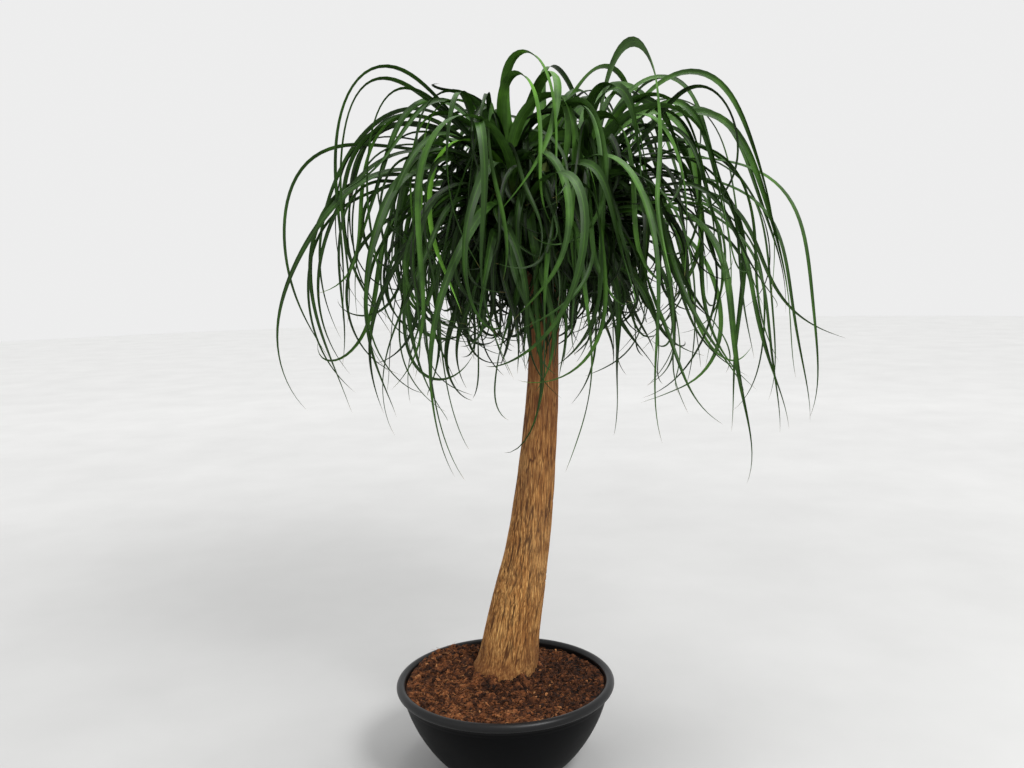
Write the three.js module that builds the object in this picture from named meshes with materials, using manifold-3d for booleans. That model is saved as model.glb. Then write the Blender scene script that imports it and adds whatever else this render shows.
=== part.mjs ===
// A potted ponytail palm: a leaning, corky trunk with a swollen foot, three heads of long strap leaves that arch
// over and hang, and a round bowl pot filled with coarse compost.
// Millimetres, +Z up. The origin is the centre of the pot's underside. The viewer stands on the -Y side.

import * as THREE from "three";
import { mergeVertices } from "three/addons/utils/BufferGeometryUtils.js";
import Module from "manifold-3d";

const wasm = await Module();
wasm.setup();

// Pot: a bowl with a rounded roll for a rim.
const POT_DIAMETER = 400;
const POT_HEIGHT = 170;
const RIM_ROLL_RADIUS = 8;
const BOWL_TOP_RADIUS = 189;
const BOWL_TOP_HEIGHT = 155;
const BASE_RADIUS = 84;
const BOWL_FULLNESS = 1.45;
const POT_WALL = 3.5;
const POT_FLOOR = 5;
const POT_SIDES = 44;
const BOWL_LEVELS = [0, 4, 13, 30, 55, 88, 124, 155];
const INSIDE_LEVELS = [0, 8, 28, 64, 106, 146];

// Compost: it fills the pot up to just under the top of the rim's roll.
const GAP = 0.4;
const SOIL_LEVEL = 159;
const SOIL_MOUND = 5;
const SOIL_RINGS = 5;

// Trunk: height, sideways place of the axis, and radius, up the trunk.
const TRUNK_PROFILE = [
  [100.5, -5, 60],
  [154, -5, 62],
  [171, -2.5, 61.5],
  [197, 5.5, 56],
  [247, 15, 51.5],
  [305, 27, 48],
  [400, 46, 40.5],
  [494, 60, 36],
  [587, 71, 32],
  [679, 80, 29],
  [752, 84, 26.5],
  [800, 86, 27],
  [862, 88, 29],
];
const TRUNK_FOOT_DEPTH_AXIS = 37;
const TRUNK_TOP_DEPTH_AXIS = 34;
const TRUNK_SIDES = 22;
const TRUNK_RINGS = 20;
const TRUNK_RELIEF = 0.016;
const HOLE_RADIUS = 64.5;
const HOLE_BOTTOM = 100;

// Fork: where the trunk's top parts into three short branches, each with a flat seat for its head.
const FORK = new THREE.Vector3(90, 35, 862);
const SEAT_HEIGHT = 925;
const BRANCH_ROOT_RADIUS = 21;
const BRANCH_SEAT_RADIUS = 20;
const BRANCH_SIDES = 10;

// Heads: the foot and the tip of each growing point, measured from the fork, and the share of the circle, in
// degrees, that its leaves keep to.
const HEADS = [
  { name: "left", foot: [-37, -20], tip: [-60, -50], top: 1100, sector: [150, 298], leaves: 54, seed: 4021 },
  { name: "right", foot: [37, -20], tip: [83, -35], top: 1100, sector: [-62, 38], leaves: 38, seed: 7757 },
  { name: "back", foot: [0, 42], tip: [0, 75], top: 1120, sector: [38, 150], leaves: 37, seed: 9109 },
];
const CORE_RADIUS = 21;
const CORE_SIDES = 8;
const LEAF_ROOT_RADIUS = 15;

// Leaves.
const LEAF_STEPS = 48;
const LEAF_FACET_STEPS = [0, 7, 13, 18, 23, 29, 35, 42];
const LEAF_WIDTH_LEAST = 13.5;
const LEAF_WIDTH_MOST = 19.5;
const YOUNG_LEAF_EXTRA_WIDTH = 4;
const LEAF_WAVE = 2.2;
const LEAF_KEEL = 2.4;
const LEAF_KEEL_LEAST = 0.8;
const GOLDEN_ANGLE = 137.508;
const SECTOR_CLEARANCE = 14;
const SECTOR_SOFT_ZONE = 45;
const TRUNK_CLEARANCE = 45;
const TRUNK_SOFT_ZONE = 75;

// How the leaves change with age, from the youngest at a head's tip to the oldest at its foot: launch in degrees,
// length in millimetres and droop in radians over the whole leaf.
const LAUNCH_BY_AGE = [76, 54, 26, 8, -6];
const LENGTH_BY_AGE = [460, 600, 660, 440, 260];
const DROOP_BY_AGE = [6, 5, 4.3, 3.6, 3];

// Leaves that the eye picks out. The columns are height up the growing point from 0 to 1, turn, launch, length, droop,
// bend (the share of the length where it droops most), curl, sway, twist and width. Turn, launch and twist are in
// degrees, curl and sway in radians, length and width in millimetres.
const LEAF_COLUMNS = ["height", "turn", "launch", "length", "droop", "bend", "curl", "sway", "twist", "width"];
const CHOSEN_LEAVES = {
  left: [
    [0.92, 184, 50, 720, 5.6, 0.46, 0.3, 0.3, 150, 16],
    [0.99, 176, 40, 640, 5, 0.42, 0.2, -0.2, 150, 16],
    [0.97, 285, 84, 500, 7, 0.42, 0, 0.2, 20, 21],
    [0.8, 286, 36, 460, 4.6, 0.36, 0.2, -0.5, 60, 20],
    [0.85, 240, 42, 460, 4.8, 0.36, 0.2, 0.3, -60, 20],
    [0.5, 230, 32, 680, 4.2, 0.36, 0.6, 1.2, 60, 17],
    [0.35, 222, 16, 540, 3.6, 0.34, 0.8, 1.4, 70, 15],
    [0.3, 262, 18, 320, 4.2, 0.3, 0.4, 0.4, 60, 17],
    [0.18, 288, 12, 280, 4, 0.3, 0.5, -0.3, -80, 16],
    [0.08, 298, 5, 250, 3.4, 0.3, 0.4, 0.3, 50, 16],
    [0.24, 297, 20, 290, 4.4, 0.3, 0.3, 0, 40, 17],
    [0.4, 278, 22, 360, 4.4, 0.32, 0.3, 0.2, -50, 18],
    [0.7, 166, 24, 720, 4, 0.42, 1.8, 0.8, 160, 15],
    [0.62, 192, 18, 700, 3.6, 0.5, 2.6, -0.9, -150, 15],
    [0.97, 205, 62, 440, 6, 0.44, 0.4, 0.4, 90, 19],
    [0.93, 228, 66, 420, 6, 0.46, 0.3, -0.6, -90, 19],
    [1, 158, 60, 460, 5.6, 0.42, 0.6, 0.6, 110, 18],
    [0.26, 284, 24, 300, 4.6, 0.3, 0.2, 0.2, 30, 18],
    [0.12, 276, 8, 270, 3.8, 0.28, 0.3, -0.2, -40, 17],
    [0.99, 246, 76, 460, 6.4, 0.44, 0.3, 0.5, 80, 19],
    [0.7, 186, 12, 560, 3.8, 0.4, 1.2, 0.6, 120, 15],
    [0.55, 198, 10, 520, 3.6, 0.42, 1.6, -0.8, -120, 15],
    [0.78, 206, 28, 600, 4.4, 0.4, 1, 0.8, 160, 15],
  ],
  right: [
    [0.85, 2, 38, 730, 5, 0.46, 0.4, -0.4, 200, 16],
    [0.6, -8, 16, 630, 4.2, 0.46, 1, 0.3, 140, 15],
    [1, -8, 80, 700, 6.6, 0.43, 0, 0.1, 205, 21],
    [0.95, 18, 58, 700, 5.4, 0.44, 0.2, 0.2, 100, 17],
    [0.95, -48, 62, 540, 5, 0.36, 0.2, 0, 40, 20],
    [0.92, -12, 60, 480, 5.6, 0.44, 0.4, -0.6, -90, 19],
    [0.98, 30, 74, 560, 5.8, 0.4, 0.3, 0.5, 90, 19],
    [0.15, -60, 10, 280, 4, 0.3, 0.4, -0.6, 60, 16],
    [0.7, 6, 24, 620, 4, 0.48, 1, -0.6, -150, 14],
    [0.99, 8, 78, 600, 6, 0.38, 0.2, -0.3, 70, 19],
  ],
  back: [
    [1, 50, 79, 640, 5.4, 0.4, 0, 0, 60, 19],
    [0.97, 150, 52, 600, 5, 0.42, 0.2, 0, 60, 18],
    [0.97, 75, 66, 520, 5.4, 0.4, 0, 0, 60, 18],
  ],
};

// Finishes.
const POT_MATERIAL = { color: 0x1d1f21, roughness: 0.55, metalness: 0 };
const SOIL_MATERIAL = { color: 0x4a2a1a, roughness: 1, metalness: 0 };
const BARK_MATERIAL = { color: 0x8a5f3a, roughness: 0.9, metalness: 0 };
const LEAF_MATERIAL = { color: 0x2f5d33, roughness: 0.45, metalness: 0 };

const DEGREE = Math.PI / 180;

// Joins: how far a surface may move, and the gaps that close, where solids are joined into one.
const JOIN_TOLERANCE = 0.1;
const WELD_TOLERANCES = [0.2, 0.31];
const TOUCH_SHIFT = 0.15;

/** Random draws between 0 and 1 that repeat for one seed. */
class Draws {
  constructor(seed) {
    this.state = seed;
  }

  between(low, high) {
    this.state = (this.state * 16807) % 2147483647;
    return low + (high - low) * (this.state / 2147483647);
  }
}

function smoothStep(x) {
  const t = Math.min(1, Math.max(0, x));
  return t * t * (3 - 2 * t);
}

/** A geometry with only its shared, merged corners left. */
function merged(geometry) {
  geometry.deleteAttribute("normal");
  geometry.deleteAttribute("uv");
  return mergeVertices(geometry, 1e-3);
}

/** A closed solid through rings of equal corner count. A single point may close either end in place of a ring. */
function ringSolid(rings) {
  const corners = [];
  const triangles = [];
  const starts = [];
  for (const ring of rings) {
    starts.push(corners.length / 3);
    for (const corner of ring) {
      corners.push(corner.x, corner.y, corner.z);
    }
  }
  for (let k = 0; k + 1 < rings.length; k += 1) {
    const lower = rings[k].length;
    const upper = rings[k + 1].length;
    const sides = Math.max(lower, upper);
    for (let i = 0; i < sides; i += 1) {
      const next = (i + 1) % sides;
      if (lower > 1) {
        triangles.push(starts[k] + i, starts[k] + next, starts[k + 1] + (upper > 1 ? next : 0));
      }
      if (upper > 1) {
        triangles.push(starts[k] + (lower > 1 ? i : 0), starts[k + 1] + next, starts[k + 1] + i);
      }
    }
  }
  const geometry = new THREE.BufferGeometry();
  geometry.setAttribute("position", new THREE.Float32BufferAttribute(corners, 3));
  geometry.setIndex(triangles);
  return geometry;
}

/** A level circle of corners, counted the same way round as the turned pot's. */
function circle(centreX, centreY, height, radius, sides) {
  const ring = [];
  for (let i = 0; i < sides; i += 1) {
    const angle = (2 * Math.PI * i) / sides;
    ring.push(new THREE.Vector3(centreX + radius * Math.sin(angle), centreY - radius * Math.cos(angle), height));
  }
  return ring;
}

function toManifold(geometry) {
  const mesh = new wasm.Mesh({
    numProp: 3,
    vertProperties: new Float32Array(geometry.getAttribute("position").array),
    triVerts: new Uint32Array(geometry.getIndex().array),
  });
  return new wasm.Manifold(mesh);
}

function toGeometry(manifold) {
  const mesh = manifold.getMesh();
  const geometry = new THREE.BufferGeometry();
  geometry.setAttribute("position", new THREE.BufferAttribute(new Float32Array(mesh.vertProperties), mesh.numProp));
  geometry.setIndex(new THREE.BufferAttribute(new Uint32Array(mesh.triVerts), 1));
  return geometry;
}

/** A solid's largest body. A hollow that is sealed inside it counts as a body of negative volume and goes. */
function largestBody(manifold) {
  const bodies = manifold.decompose();
  bodies.sort((a, b) => b.volume() - a.volume());
  return bodies[0];
}

/** A geometry with corners nearer than the tolerance merged, and without the triangles that this closes up. */
function welded(geometry, tolerance) {
  const near = mergeVertices(geometry, tolerance);
  const corners = near.getIndex().array;
  const kept = [];
  for (let i = 0; i < corners.length; i += 3) {
    const [a, b, c] = [corners[i], corners[i + 1], corners[i + 2]];
    if (a !== b && b !== c && c !== a) {
      kept.push(a, b, c);
    }
  }
  near.setIndex(kept);
  return near;
}

/** Moves corners that only share a place apart, each a little way into its own side of the touch. */
function parted(geometry) {
  const places = geometry.getAttribute("position");
  const corners = geometry.getIndex().array;
  const sharing = new Map();
  for (let i = 0; i < places.count; i += 1) {
    const key = [places.getX(i), places.getY(i), places.getZ(i)].map((value) => value.toFixed(2)).join();
    sharing.set(key, [...(sharing.get(key) ?? []), i]);
  }
  for (const touching of sharing.values()) {
    for (const i of touching.length > 1 ? touching : []) {
      const middle = new THREE.Vector3();
      let count = 0;
      for (let k = 0; k < corners.length; k += 3) {
        const triangle = [corners[k], corners[k + 1], corners[k + 2]];
        for (const corner of triangle.includes(i) ? triangle : []) {
          middle.add(new THREE.Vector3().fromBufferAttribute(places, corner));
          count += 1;
        }
      }
      const place = new THREE.Vector3().fromBufferAttribute(places, i);
      place.lerp(middle.divideScalar(count), TOUCH_SHIFT);
      places.setXYZ(i, place.x, place.y, place.z);
    }
  }
  return geometry;
}

/** Joins solids into one body, with sealed hollows filled and the join's slivers merged away. */
function fused(solids) {
  let body = largestBody(wasm.Manifold.union(solids)).asOriginal().simplify(JOIN_TOLERANCE);
  for (const tolerance of WELD_TOLERANCES) {
    body = largestBody(toManifold(welded(toGeometry(body), tolerance))).asOriginal().simplify(JOIN_TOLERANCE);
  }
  return parted(toGeometry(body));
}

/** The bowl's outer radius at a height, from the flat base up to the rim. */
function bowlRadius(height) {
  const down = 1 - Math.min(1, Math.max(0, height / BOWL_TOP_HEIGHT));
  const swell = (1 - down ** BOWL_FULLNESS) ** (1 / BOWL_FULLNESS);
  return BASE_RADIUS + (BOWL_TOP_RADIUS - BASE_RADIUS) * swell;
}

/** The bowl's inside from its floor up to the rim, as radius and height. */
function insideProfile() {
  const points = [];
  for (const level of INSIDE_LEVELS) {
    points.push([bowlRadius(level) - POT_WALL, level + POT_FLOOR]);
  }
  return points;
}

function potGeometry() {
  const rollRadius = POT_DIAMETER / 2 - RIM_ROLL_RADIUS;
  const rollHeight = POT_HEIGHT - RIM_ROLL_RADIUS;
  const profile = [new THREE.Vector2(0, 0)];
  for (const level of BOWL_LEVELS) {
    profile.push(new THREE.Vector2(bowlRadius(level), level));
  }
  for (const turn of [-60, -20, 20, 60, 100, 140, 180]) {
    const angle = turn * DEGREE;
    const radius = rollRadius + RIM_ROLL_RADIUS * Math.cos(angle);
    profile.push(new THREE.Vector2(radius, rollHeight + RIM_ROLL_RADIUS * Math.sin(angle)));
  }
  for (const [radius, height] of insideProfile().reverse()) {
    profile.push(new THREE.Vector2(radius, height));
  }
  profile.push(new THREE.Vector2(0, POT_FLOOR));
  const geometry = new THREE.LatheGeometry(profile, POT_SIDES);
  geometry.rotateX(Math.PI / 2);
  return merged(geometry);
}

/** The compost's top: higher round the trunk and at the back left, lower at the back right, with coarse lumps. */
function soilHeight(x, y) {
  const fromTrunk = Math.hypot(x - TRUNK_PROFILE[1][1], y - TRUNK_FOOT_DEPTH_AXIS) - HOLE_RADIUS;
  const mound = SOIL_MOUND * smoothStep(1 - fromTrunk / 90);
  const slope = (y / 180) * (x < 0 ? 2 : -4) * smoothStep(Math.hypot(x, y) / 160);
  const lumps = 1.3 * Math.sin(x * 0.11 + 1) * Math.cos(y * 0.13) + 0.9 * Math.sin(x * 0.29 + y * 0.23);
  return SOIL_LEVEL + mound + slope + lumps;
}

function soilGeometry() {
  const holeX = TRUNK_PROFILE[1][1];
  const holeY = TRUNK_FOOT_DEPTH_AXIS;
  const side = insideProfile().map(([radius, height]) => [radius - GAP, height + GAP]);
  const edgeRadius = POT_DIAMETER / 2 - 2 * RIM_ROLL_RADIUS - GAP;
  const rings = [[new THREE.Vector3(0, 0, POT_FLOOR + GAP)]];
  for (const [radius, height] of side) {
    rings.push(circle(0, 0, height, radius, POT_SIDES));
  }
  for (let k = 0; k <= SOIL_RINGS; k += 1) {
    const inward = k / SOIL_RINGS;
    const radius = edgeRadius + (HOLE_RADIUS - edgeRadius) * inward;
    const ring = circle(holeX * inward, holeY * inward, 0, radius, POT_SIDES);
    for (const corner of ring) {
      corner.z = soilHeight(corner.x, corner.y);
    }
    rings.push(ring);
  }
  rings.push(circle(holeX, holeY, HOLE_BOTTOM, HOLE_RADIUS, POT_SIDES));
  rings.push([new THREE.Vector3(holeX, holeY, HOLE_BOTTOM)]);
  return ringSolid(rings);
}

/** The trunk's axis and radius at a height, read smoothly from its profile. */
function trunkAt(height) {
  const last = TRUNK_PROFILE.length - 1;
  let k = 0;
  while (k < last - 1 && height > TRUNK_PROFILE[k + 1][0]) {
    k += 1;
  }
  const before = TRUNK_PROFILE[Math.max(0, k - 1)];
  const from = TRUNK_PROFILE[k];
  const to = TRUNK_PROFILE[k + 1];
  const after = TRUNK_PROFILE[Math.min(last, k + 2)];
  const t = Math.min(1, Math.max(0, (height - from[0]) / (to[0] - from[0])));
  const smooth = (column) => {
    const slopeFrom = ((to[column] - before[column]) / (to[0] - before[0])) * (to[0] - from[0]);
    const slopeTo = ((after[column] - from[column]) / (after[0] - from[0])) * (to[0] - from[0]);
    const bulge = (t - 1) * (t - 1) * t * slopeFrom + (t - 1) * t * t * slopeTo;
    return from[column] + (to[column] - from[column]) * smoothStep(t) + bulge;
  };
  const rise = (height - HOLE_BOTTOM) / (FORK.z - HOLE_BOTTOM);
  const y = TRUNK_FOOT_DEPTH_AXIS + (TRUNK_TOP_DEPTH_AXIS - TRUNK_FOOT_DEPTH_AXIS) * rise;
  return { x: smooth(1), y, radius: smooth(2) };
}

function trunkGeometry() {
  const foot = TRUNK_PROFILE[0][0];
  const top = FORK.z;
  const rings = [[new THREE.Vector3(trunkAt(foot).x, trunkAt(foot).y, foot)]];
  for (let k = 0; k <= TRUNK_RINGS; k += 1) {
    const height = foot + (top - foot) * (k / TRUNK_RINGS) ** 1.25;
    const at = trunkAt(height);
    const relief = TRUNK_RELIEF * smoothStep((height - 168) / 25);
    const ring = circle(0, 0, height, 1, TRUNK_SIDES);
    for (const corner of ring) {
      const angle = Math.atan2(corner.y, corner.x);
      const wave = 0.6 * Math.sin(3 * angle + height / 70) + 0.4 * Math.sin(5 * angle - height / 43);
      const radius = at.radius * (1 + relief * wave);
      corner.x = at.x + radius * corner.x;
      corner.y = at.y + radius * corner.y;
    }
    rings.push(ring);
  }
  rings.push([new THREE.Vector3(FORK.x, FORK.y, top + 14)]);
  const pieces = [ringSolid(rings)];
  for (const head of HEADS) {
    pieces.push(branchGeometry(head));
  }
  return fused(pieces.map(toManifold));
}

/** One short branch, from inside the trunk's top out to its level seat. */
function branchGeometry(head) {
  const rootHeight = FORK.z - 22;
  const seatHeight = SEAT_HEIGHT - GAP;
  const outward = [0, 0, 0.22, 0.62, 0.92, 1];
  const rings = [];
  for (let k = 0; k < outward.length; k += 1) {
    const rise = k === 0 ? 0 : (k - 1) / (outward.length - 2);
    const x = FORK.x + head.foot[0] * outward[k];
    const y = FORK.y + head.foot[1] * outward[k];
    const height = rootHeight + (seatHeight - rootHeight) * rise;
    const radius = BRANCH_ROOT_RADIUS + (BRANCH_SEAT_RADIUS - BRANCH_ROOT_RADIUS) * rise;
    rings.push(k === 0 ? [new THREE.Vector3(x, y, height)] : circle(x, y, height, radius, BRANCH_SIDES));
  }
  rings.push([new THREE.Vector3(FORK.x + head.foot[0], FORK.y + head.foot[1], seatHeight)]);
  return ringSolid(rings);
}

/** The middle of a head's growing point at a share of its height. */
function corePoint(head, share) {
  return new THREE.Vector3(
    FORK.x + head.foot[0] + (head.tip[0] - head.foot[0]) * share,
    FORK.y + head.foot[1] + (head.tip[1] - head.foot[1]) * share,
    SEAT_HEIGHT + (head.top - SEAT_HEIGHT) * share,
  );
}

function coreGeometry(head) {
  const rings = [[corePoint(head, 0)]];
  for (const [share, radius] of [[0, 19], [0.15, CORE_RADIUS], [0.45, 19], [0.75, 13], [0.93, 7]]) {
    const middle = corePoint(head, share);
    rings.push(circle(middle.x, middle.y, middle.z, radius, CORE_SIDES));
  }
  rings.push([corePoint(head, 1)]);
  return ringSolid(rings);
}

/** Takes a share of a direction's level motion against (nx, ny) away and keeps its level speed. */
function turnAside(direction, nx, ny, share) {
  const against = -(direction.x * nx + direction.y * ny);
  if (against <= 0) {
    return;
  }
  const level = Math.hypot(direction.x, direction.y);
  direction.x += nx * against * share;
  direction.y += ny * against * share;
  const stretch = Math.min(3, level / Math.max(1e-6, Math.hypot(direction.x, direction.y)));
  direction.x *= stretch;
  direction.y *= stretch;
  direction.normalize();
}

/** Turns a leaf's direction so that it never leaves its head's sector or meets the trunk. */
function keepClear(point, direction, head) {
  const [from, to] = head.sector.map((angle) => angle * DEGREE);
  const inwards = [
    [-Math.sin(from), Math.cos(from)],
    [Math.sin(to), -Math.cos(to)],
  ];
  for (const [nx, ny] of inwards) {
    const inside = (point.x - FORK.x) * nx + (point.y - FORK.y) * ny;
    turnAside(direction, nx, ny, smoothStep((SECTOR_SOFT_ZONE - inside) / (SECTOR_SOFT_ZONE - SECTOR_CLEARANCE)));
  }
  if (point.z < SEAT_HEIGHT + 25) {
    const axis = trunkAt(Math.min(point.z, FORK.z));
    const dx = point.x - axis.x;
    const dy = point.y - axis.y;
    const distance = Math.hypot(dx, dy);
    const share = Math.min(1, Math.max(0, (TRUNK_SOFT_ZONE - distance) / (TRUNK_SOFT_ZONE - TRUNK_CLEARANCE)));
    turnAside(direction, dx / distance, dy / distance, share);
  }
}

/** One leaf's middle line from root to tip: the point, the direction and the width direction at every step. */
function leafPath(leaf, head) {
  const turn = leaf.turn * DEGREE;
  const launch = leaf.launch * DEGREE;
  const level = Math.cos(launch);
  const along = new THREE.Vector3(level * Math.cos(turn), level * Math.sin(turn), Math.sin(launch));
  const across = new THREE.Vector3(-Math.sin(turn), Math.cos(turn), 0);
  const point = corePoint(head, 0.08 + 0.87 * leaf.height);
  const reach = LEAF_ROOT_RADIUS * Math.min(1, 0.2 + 2 * (1 - leaf.height));
  const outward = new THREE.Vector3(Math.cos(turn), Math.sin(turn), 0);
  point.addScaledVector(outward, reach);
  const phase = (leaf.twist + leaf.turn) * DEGREE;
  const path = [];
  for (let i = 0; i <= LEAF_STEPS; i += 1) {
    path.push({ point: point.clone(), along: along.clone(), across: across.clone() });
    const u = Math.min(1, (i + 0.5) / LEAF_STEPS);
    const next = along.clone();
    next.z -= (leaf.droop * (0.15 + 1.75 * Math.exp(-(((u - leaf.bend) / 0.215) ** 2)))) / LEAF_STEPS;
    next.addScaledVector(across, (leaf.sway * (0.6 + 14 * Math.max(0, u - 0.6))) / LEAF_STEPS);
    next.addScaledVector(outward, (-leaf.curl * 3.4 * u ** 3) / LEAF_STEPS);
    next.addScaledVector(across, (LEAF_WAVE * Math.sin(8 * u + phase)) / LEAF_STEPS);
    next.z += (0.7 * LEAF_WAVE * Math.sin(11 * u + 2 * phase)) / LEAF_STEPS;
    next.normalize();
    keepClear(point, next, head);
    point.addScaledVector(along, (leaf.length / LEAF_STEPS) * 0.5);
    point.addScaledVector(next, (leaf.length / LEAF_STEPS) * 0.5);
    across.addScaledVector(next, -across.dot(next)).normalize();
    across.applyAxisAngle(next, ((leaf.twist * DEGREE) / LEAF_STEPS) * (0.5 + u));
    along.copy(next);
  }
  return path;
}

/** A leaf's width at a share of its length: full near the root, then drawn out to a whip. */
function leafWidth(leaf, u) {
  return leaf.width * Math.min(1, 0.5 + 2.5 * u) * (1 - u ** 1.35) ** 0.9;
}

/** A three-sided blade with a flat upper face and a keel under its middle, as one hull for each length of it. */
function leafSolid(leaf, head) {
  const path = leafPath(leaf, head);
  const rings = [[path[0].point.clone().addScaledVector(path[0].along, -LEAF_KEEL)]];
  for (const i of LEAF_FACET_STEPS) {
    const { point, along, across } = path[i];
    const width = leafWidth(leaf, i / LEAF_STEPS);
    const keel = LEAF_KEEL_LEAST + (LEAF_KEEL - LEAF_KEEL_LEAST) * (width / leaf.width);
    const under = along.clone().cross(across).negate();
    rings.push([
      point.clone().addScaledVector(across, width / 2),
      point.clone().addScaledVector(across, -width / 2),
      point.clone().addScaledVector(under, keel),
    ]);
  }
  rings.push([path[LEAF_STEPS].point]);
  const lengths = [];
  for (let k = 0; k + 1 < rings.length; k += 1) {
    const corners = [...rings[k], ...rings[k + 1]].map((corner) => corner.toArray());
    lengths.push(wasm.Manifold.hull(corners));
  }
  return wasm.Manifold.union(lengths);
}

/** A value read between the youngest leaf's, first in the list, and the oldest leaf's, last. */
function byAge(values, age) {
  const place = age * (values.length - 1);
  const k = Math.min(values.length - 2, Math.floor(place));
  return values[k] + (values[k + 1] - values[k]) * (place - k);
}

/** A head's leaves: the youngest stand up at its tip, the oldest hang from its foot. */
function leavesOf(head) {
  const draws = new Draws(head.seed);
  const middle = (head.sector[0] + head.sector[1]) / 2;
  const half = (head.sector[1] - head.sector[0]) / 2;
  const leaves = [];
  for (let i = 0; i < head.leaves; i += 1) {
    const age = (i + 0.5) / head.leaves;
    const spiral = i * GOLDEN_ANGLE + draws.between(-12, 12) - middle;
    const off = ((((spiral + 180) % 360) + 360) % 360) - 180;
    const vigour = draws.between(0, 1);
    const launch = byAge(LAUNCH_BY_AGE, age) + draws.between(-14, 14);
    leaves.push({
      height: 1 - age,
      turn: middle + off * (0.85 - 0.35 * age) * Math.sqrt(half / 60),
      launch: Math.min(76, launch),
      length: byAge(LENGTH_BY_AGE, age) * (0.74 + 0.44 * vigour),
      droop: byAge(DROOP_BY_AGE, age) * draws.between(0.82, 1.2),
      bend: draws.between(0.32, 0.52),
      curl: draws.between(-0.5, 3.2),
      sway: draws.between(-2, 2),
      twist: draws.between(-260, 260),
      width: draws.between(LEAF_WIDTH_LEAST, LEAF_WIDTH_MOST) + YOUNG_LEAF_EXTRA_WIDTH * (1 - age) ** 2,
    });
  }
  for (const row of CHOSEN_LEAVES[head.name]) {
    leaves.push(Object.fromEntries(LEAF_COLUMNS.map((column, k) => [column, row[k]])));
  }
  return leaves;
}

function headGeometry(head) {
  const pieces = [toManifold(coreGeometry(head))];
  for (const leaf of leavesOf(head)) {
    pieces.push(leafSolid(leaf, head));
  }
  return fused(pieces);
}

function piece(name, geometry, finish) {
  const mesh = new THREE.Mesh(geometry, new THREE.MeshStandardMaterial(finish));
  mesh.name = name;
  return mesh;
}

const palm = new THREE.Group();
palm.name = "potted_ponytail_palm";
palm.add(piece("pot", potGeometry(), POT_MATERIAL));
palm.add(piece("soil", soilGeometry(), SOIL_MATERIAL));
palm.add(piece("trunk", trunkGeometry(), BARK_MATERIAL));
for (const head of HEADS) {
  palm.add(piece(`head_${head.name}`, headGeometry(head), LEAF_MATERIAL));
}

export default palm;
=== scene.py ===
"""The look of a potted ponytail palm: a leaning, corky trunk, three heads of strap leaves, a bowl of compost.

Lengths are in metres and angles in degrees. +Z is up, the origin is the centre of the pot's underside, and
the viewer of the front stands on the -Y side.
"""

from __future__ import annotations

import logging
import math
from collections.abc import Callable
from dataclasses import dataclass
from enum import Enum
from functools import partial

import bpy
import numpy as np
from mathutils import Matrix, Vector
from mathutils import noise


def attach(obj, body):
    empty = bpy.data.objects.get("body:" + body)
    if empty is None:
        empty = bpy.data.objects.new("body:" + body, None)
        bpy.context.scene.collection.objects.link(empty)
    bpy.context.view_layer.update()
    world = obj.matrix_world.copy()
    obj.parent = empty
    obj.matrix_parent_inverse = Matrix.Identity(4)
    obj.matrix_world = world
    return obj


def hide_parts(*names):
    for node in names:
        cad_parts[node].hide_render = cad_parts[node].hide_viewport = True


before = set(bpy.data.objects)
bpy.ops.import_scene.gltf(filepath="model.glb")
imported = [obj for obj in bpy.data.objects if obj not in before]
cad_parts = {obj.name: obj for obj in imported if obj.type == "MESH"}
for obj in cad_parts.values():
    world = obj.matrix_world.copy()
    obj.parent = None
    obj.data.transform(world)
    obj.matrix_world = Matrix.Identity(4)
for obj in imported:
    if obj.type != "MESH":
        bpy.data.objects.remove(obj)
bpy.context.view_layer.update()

logger = logging.getLogger("ponytail_palm")

BODY = "root"
GOLDEN_ANGLE = 137.508
NOISE_SEED = 77
FULL_TURN = 2.0 * math.pi

Colour = tuple[float, float, float]
Face = tuple[int, ...]
Socket = bpy.types.NodeSocket


class Slot(Enum):
    """The record's material slots."""

    POT = "pot"
    SOIL = "soil"
    BARK = "bark"
    LEAF = "leaf"


class Sum(Enum):
    """The sums that a finish does on numbers."""

    ADD = "ADD"
    SUBTRACT = "SUBTRACT"
    MULTIPLY = "MULTIPLY"
    SIZE = "ABSOLUTE"


class Blend(Enum):
    """The ways to lay one colour over another."""

    MIX = "MIX"
    MULTIPLY = "MULTIPLY"


class CompostPart(Enum):
    """The two parts of the compost, by the names of their materials."""

    BED = "compost"
    LITTER = "compost_chips"


def clamp(value: float) -> float:
    """Holds a value between 0 and 1."""
    return min(1.0, max(0.0, value))


def smooth_step(value: float) -> float:
    """Eases a value from 0 to 1, and holds it there outside."""
    t = clamp(value)
    return t * t * (3.0 - 2.0 * t)


def deselect_everything() -> None:
    """Leaves no object selected, because an operator acts on all that is."""
    if bpy.context.mode != "OBJECT":
        bpy.ops.object.mode_set(mode="OBJECT")
    bpy.ops.object.select_all(action="DESELECT")


def take_up(piece: bpy.types.Object) -> None:
    """Makes one object the only selected and active one.

    Args:
        piece: The object.
    """
    deselect_everything()
    piece.select_set(True)
    bpy.context.view_layer.objects.active = piece


def close_and_face_out(piece: bpy.types.Object, distance: float = 1e-6) -> None:
    """Merges doubled corners and turns all faces outwards.

    Args:
        piece: The mesh object to clean.
        distance: Corners nearer than this are merged.
    """
    take_up(piece)
    bpy.ops.object.mode_set(mode="EDIT")
    bpy.ops.mesh.select_all(action="SELECT")
    bpy.ops.mesh.remove_doubles(threshold=distance)
    bpy.ops.mesh.normals_make_consistent(inside=False)
    bpy.ops.object.mode_set(mode="OBJECT")


def shade(piece: bpy.types.Object, angle: float) -> None:
    """Shades a piece smooth, apart from edges sharper than the angle in degrees."""
    take_up(piece)
    bpy.ops.object.shade_smooth_by_angle(angle=math.radians(angle))


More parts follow.
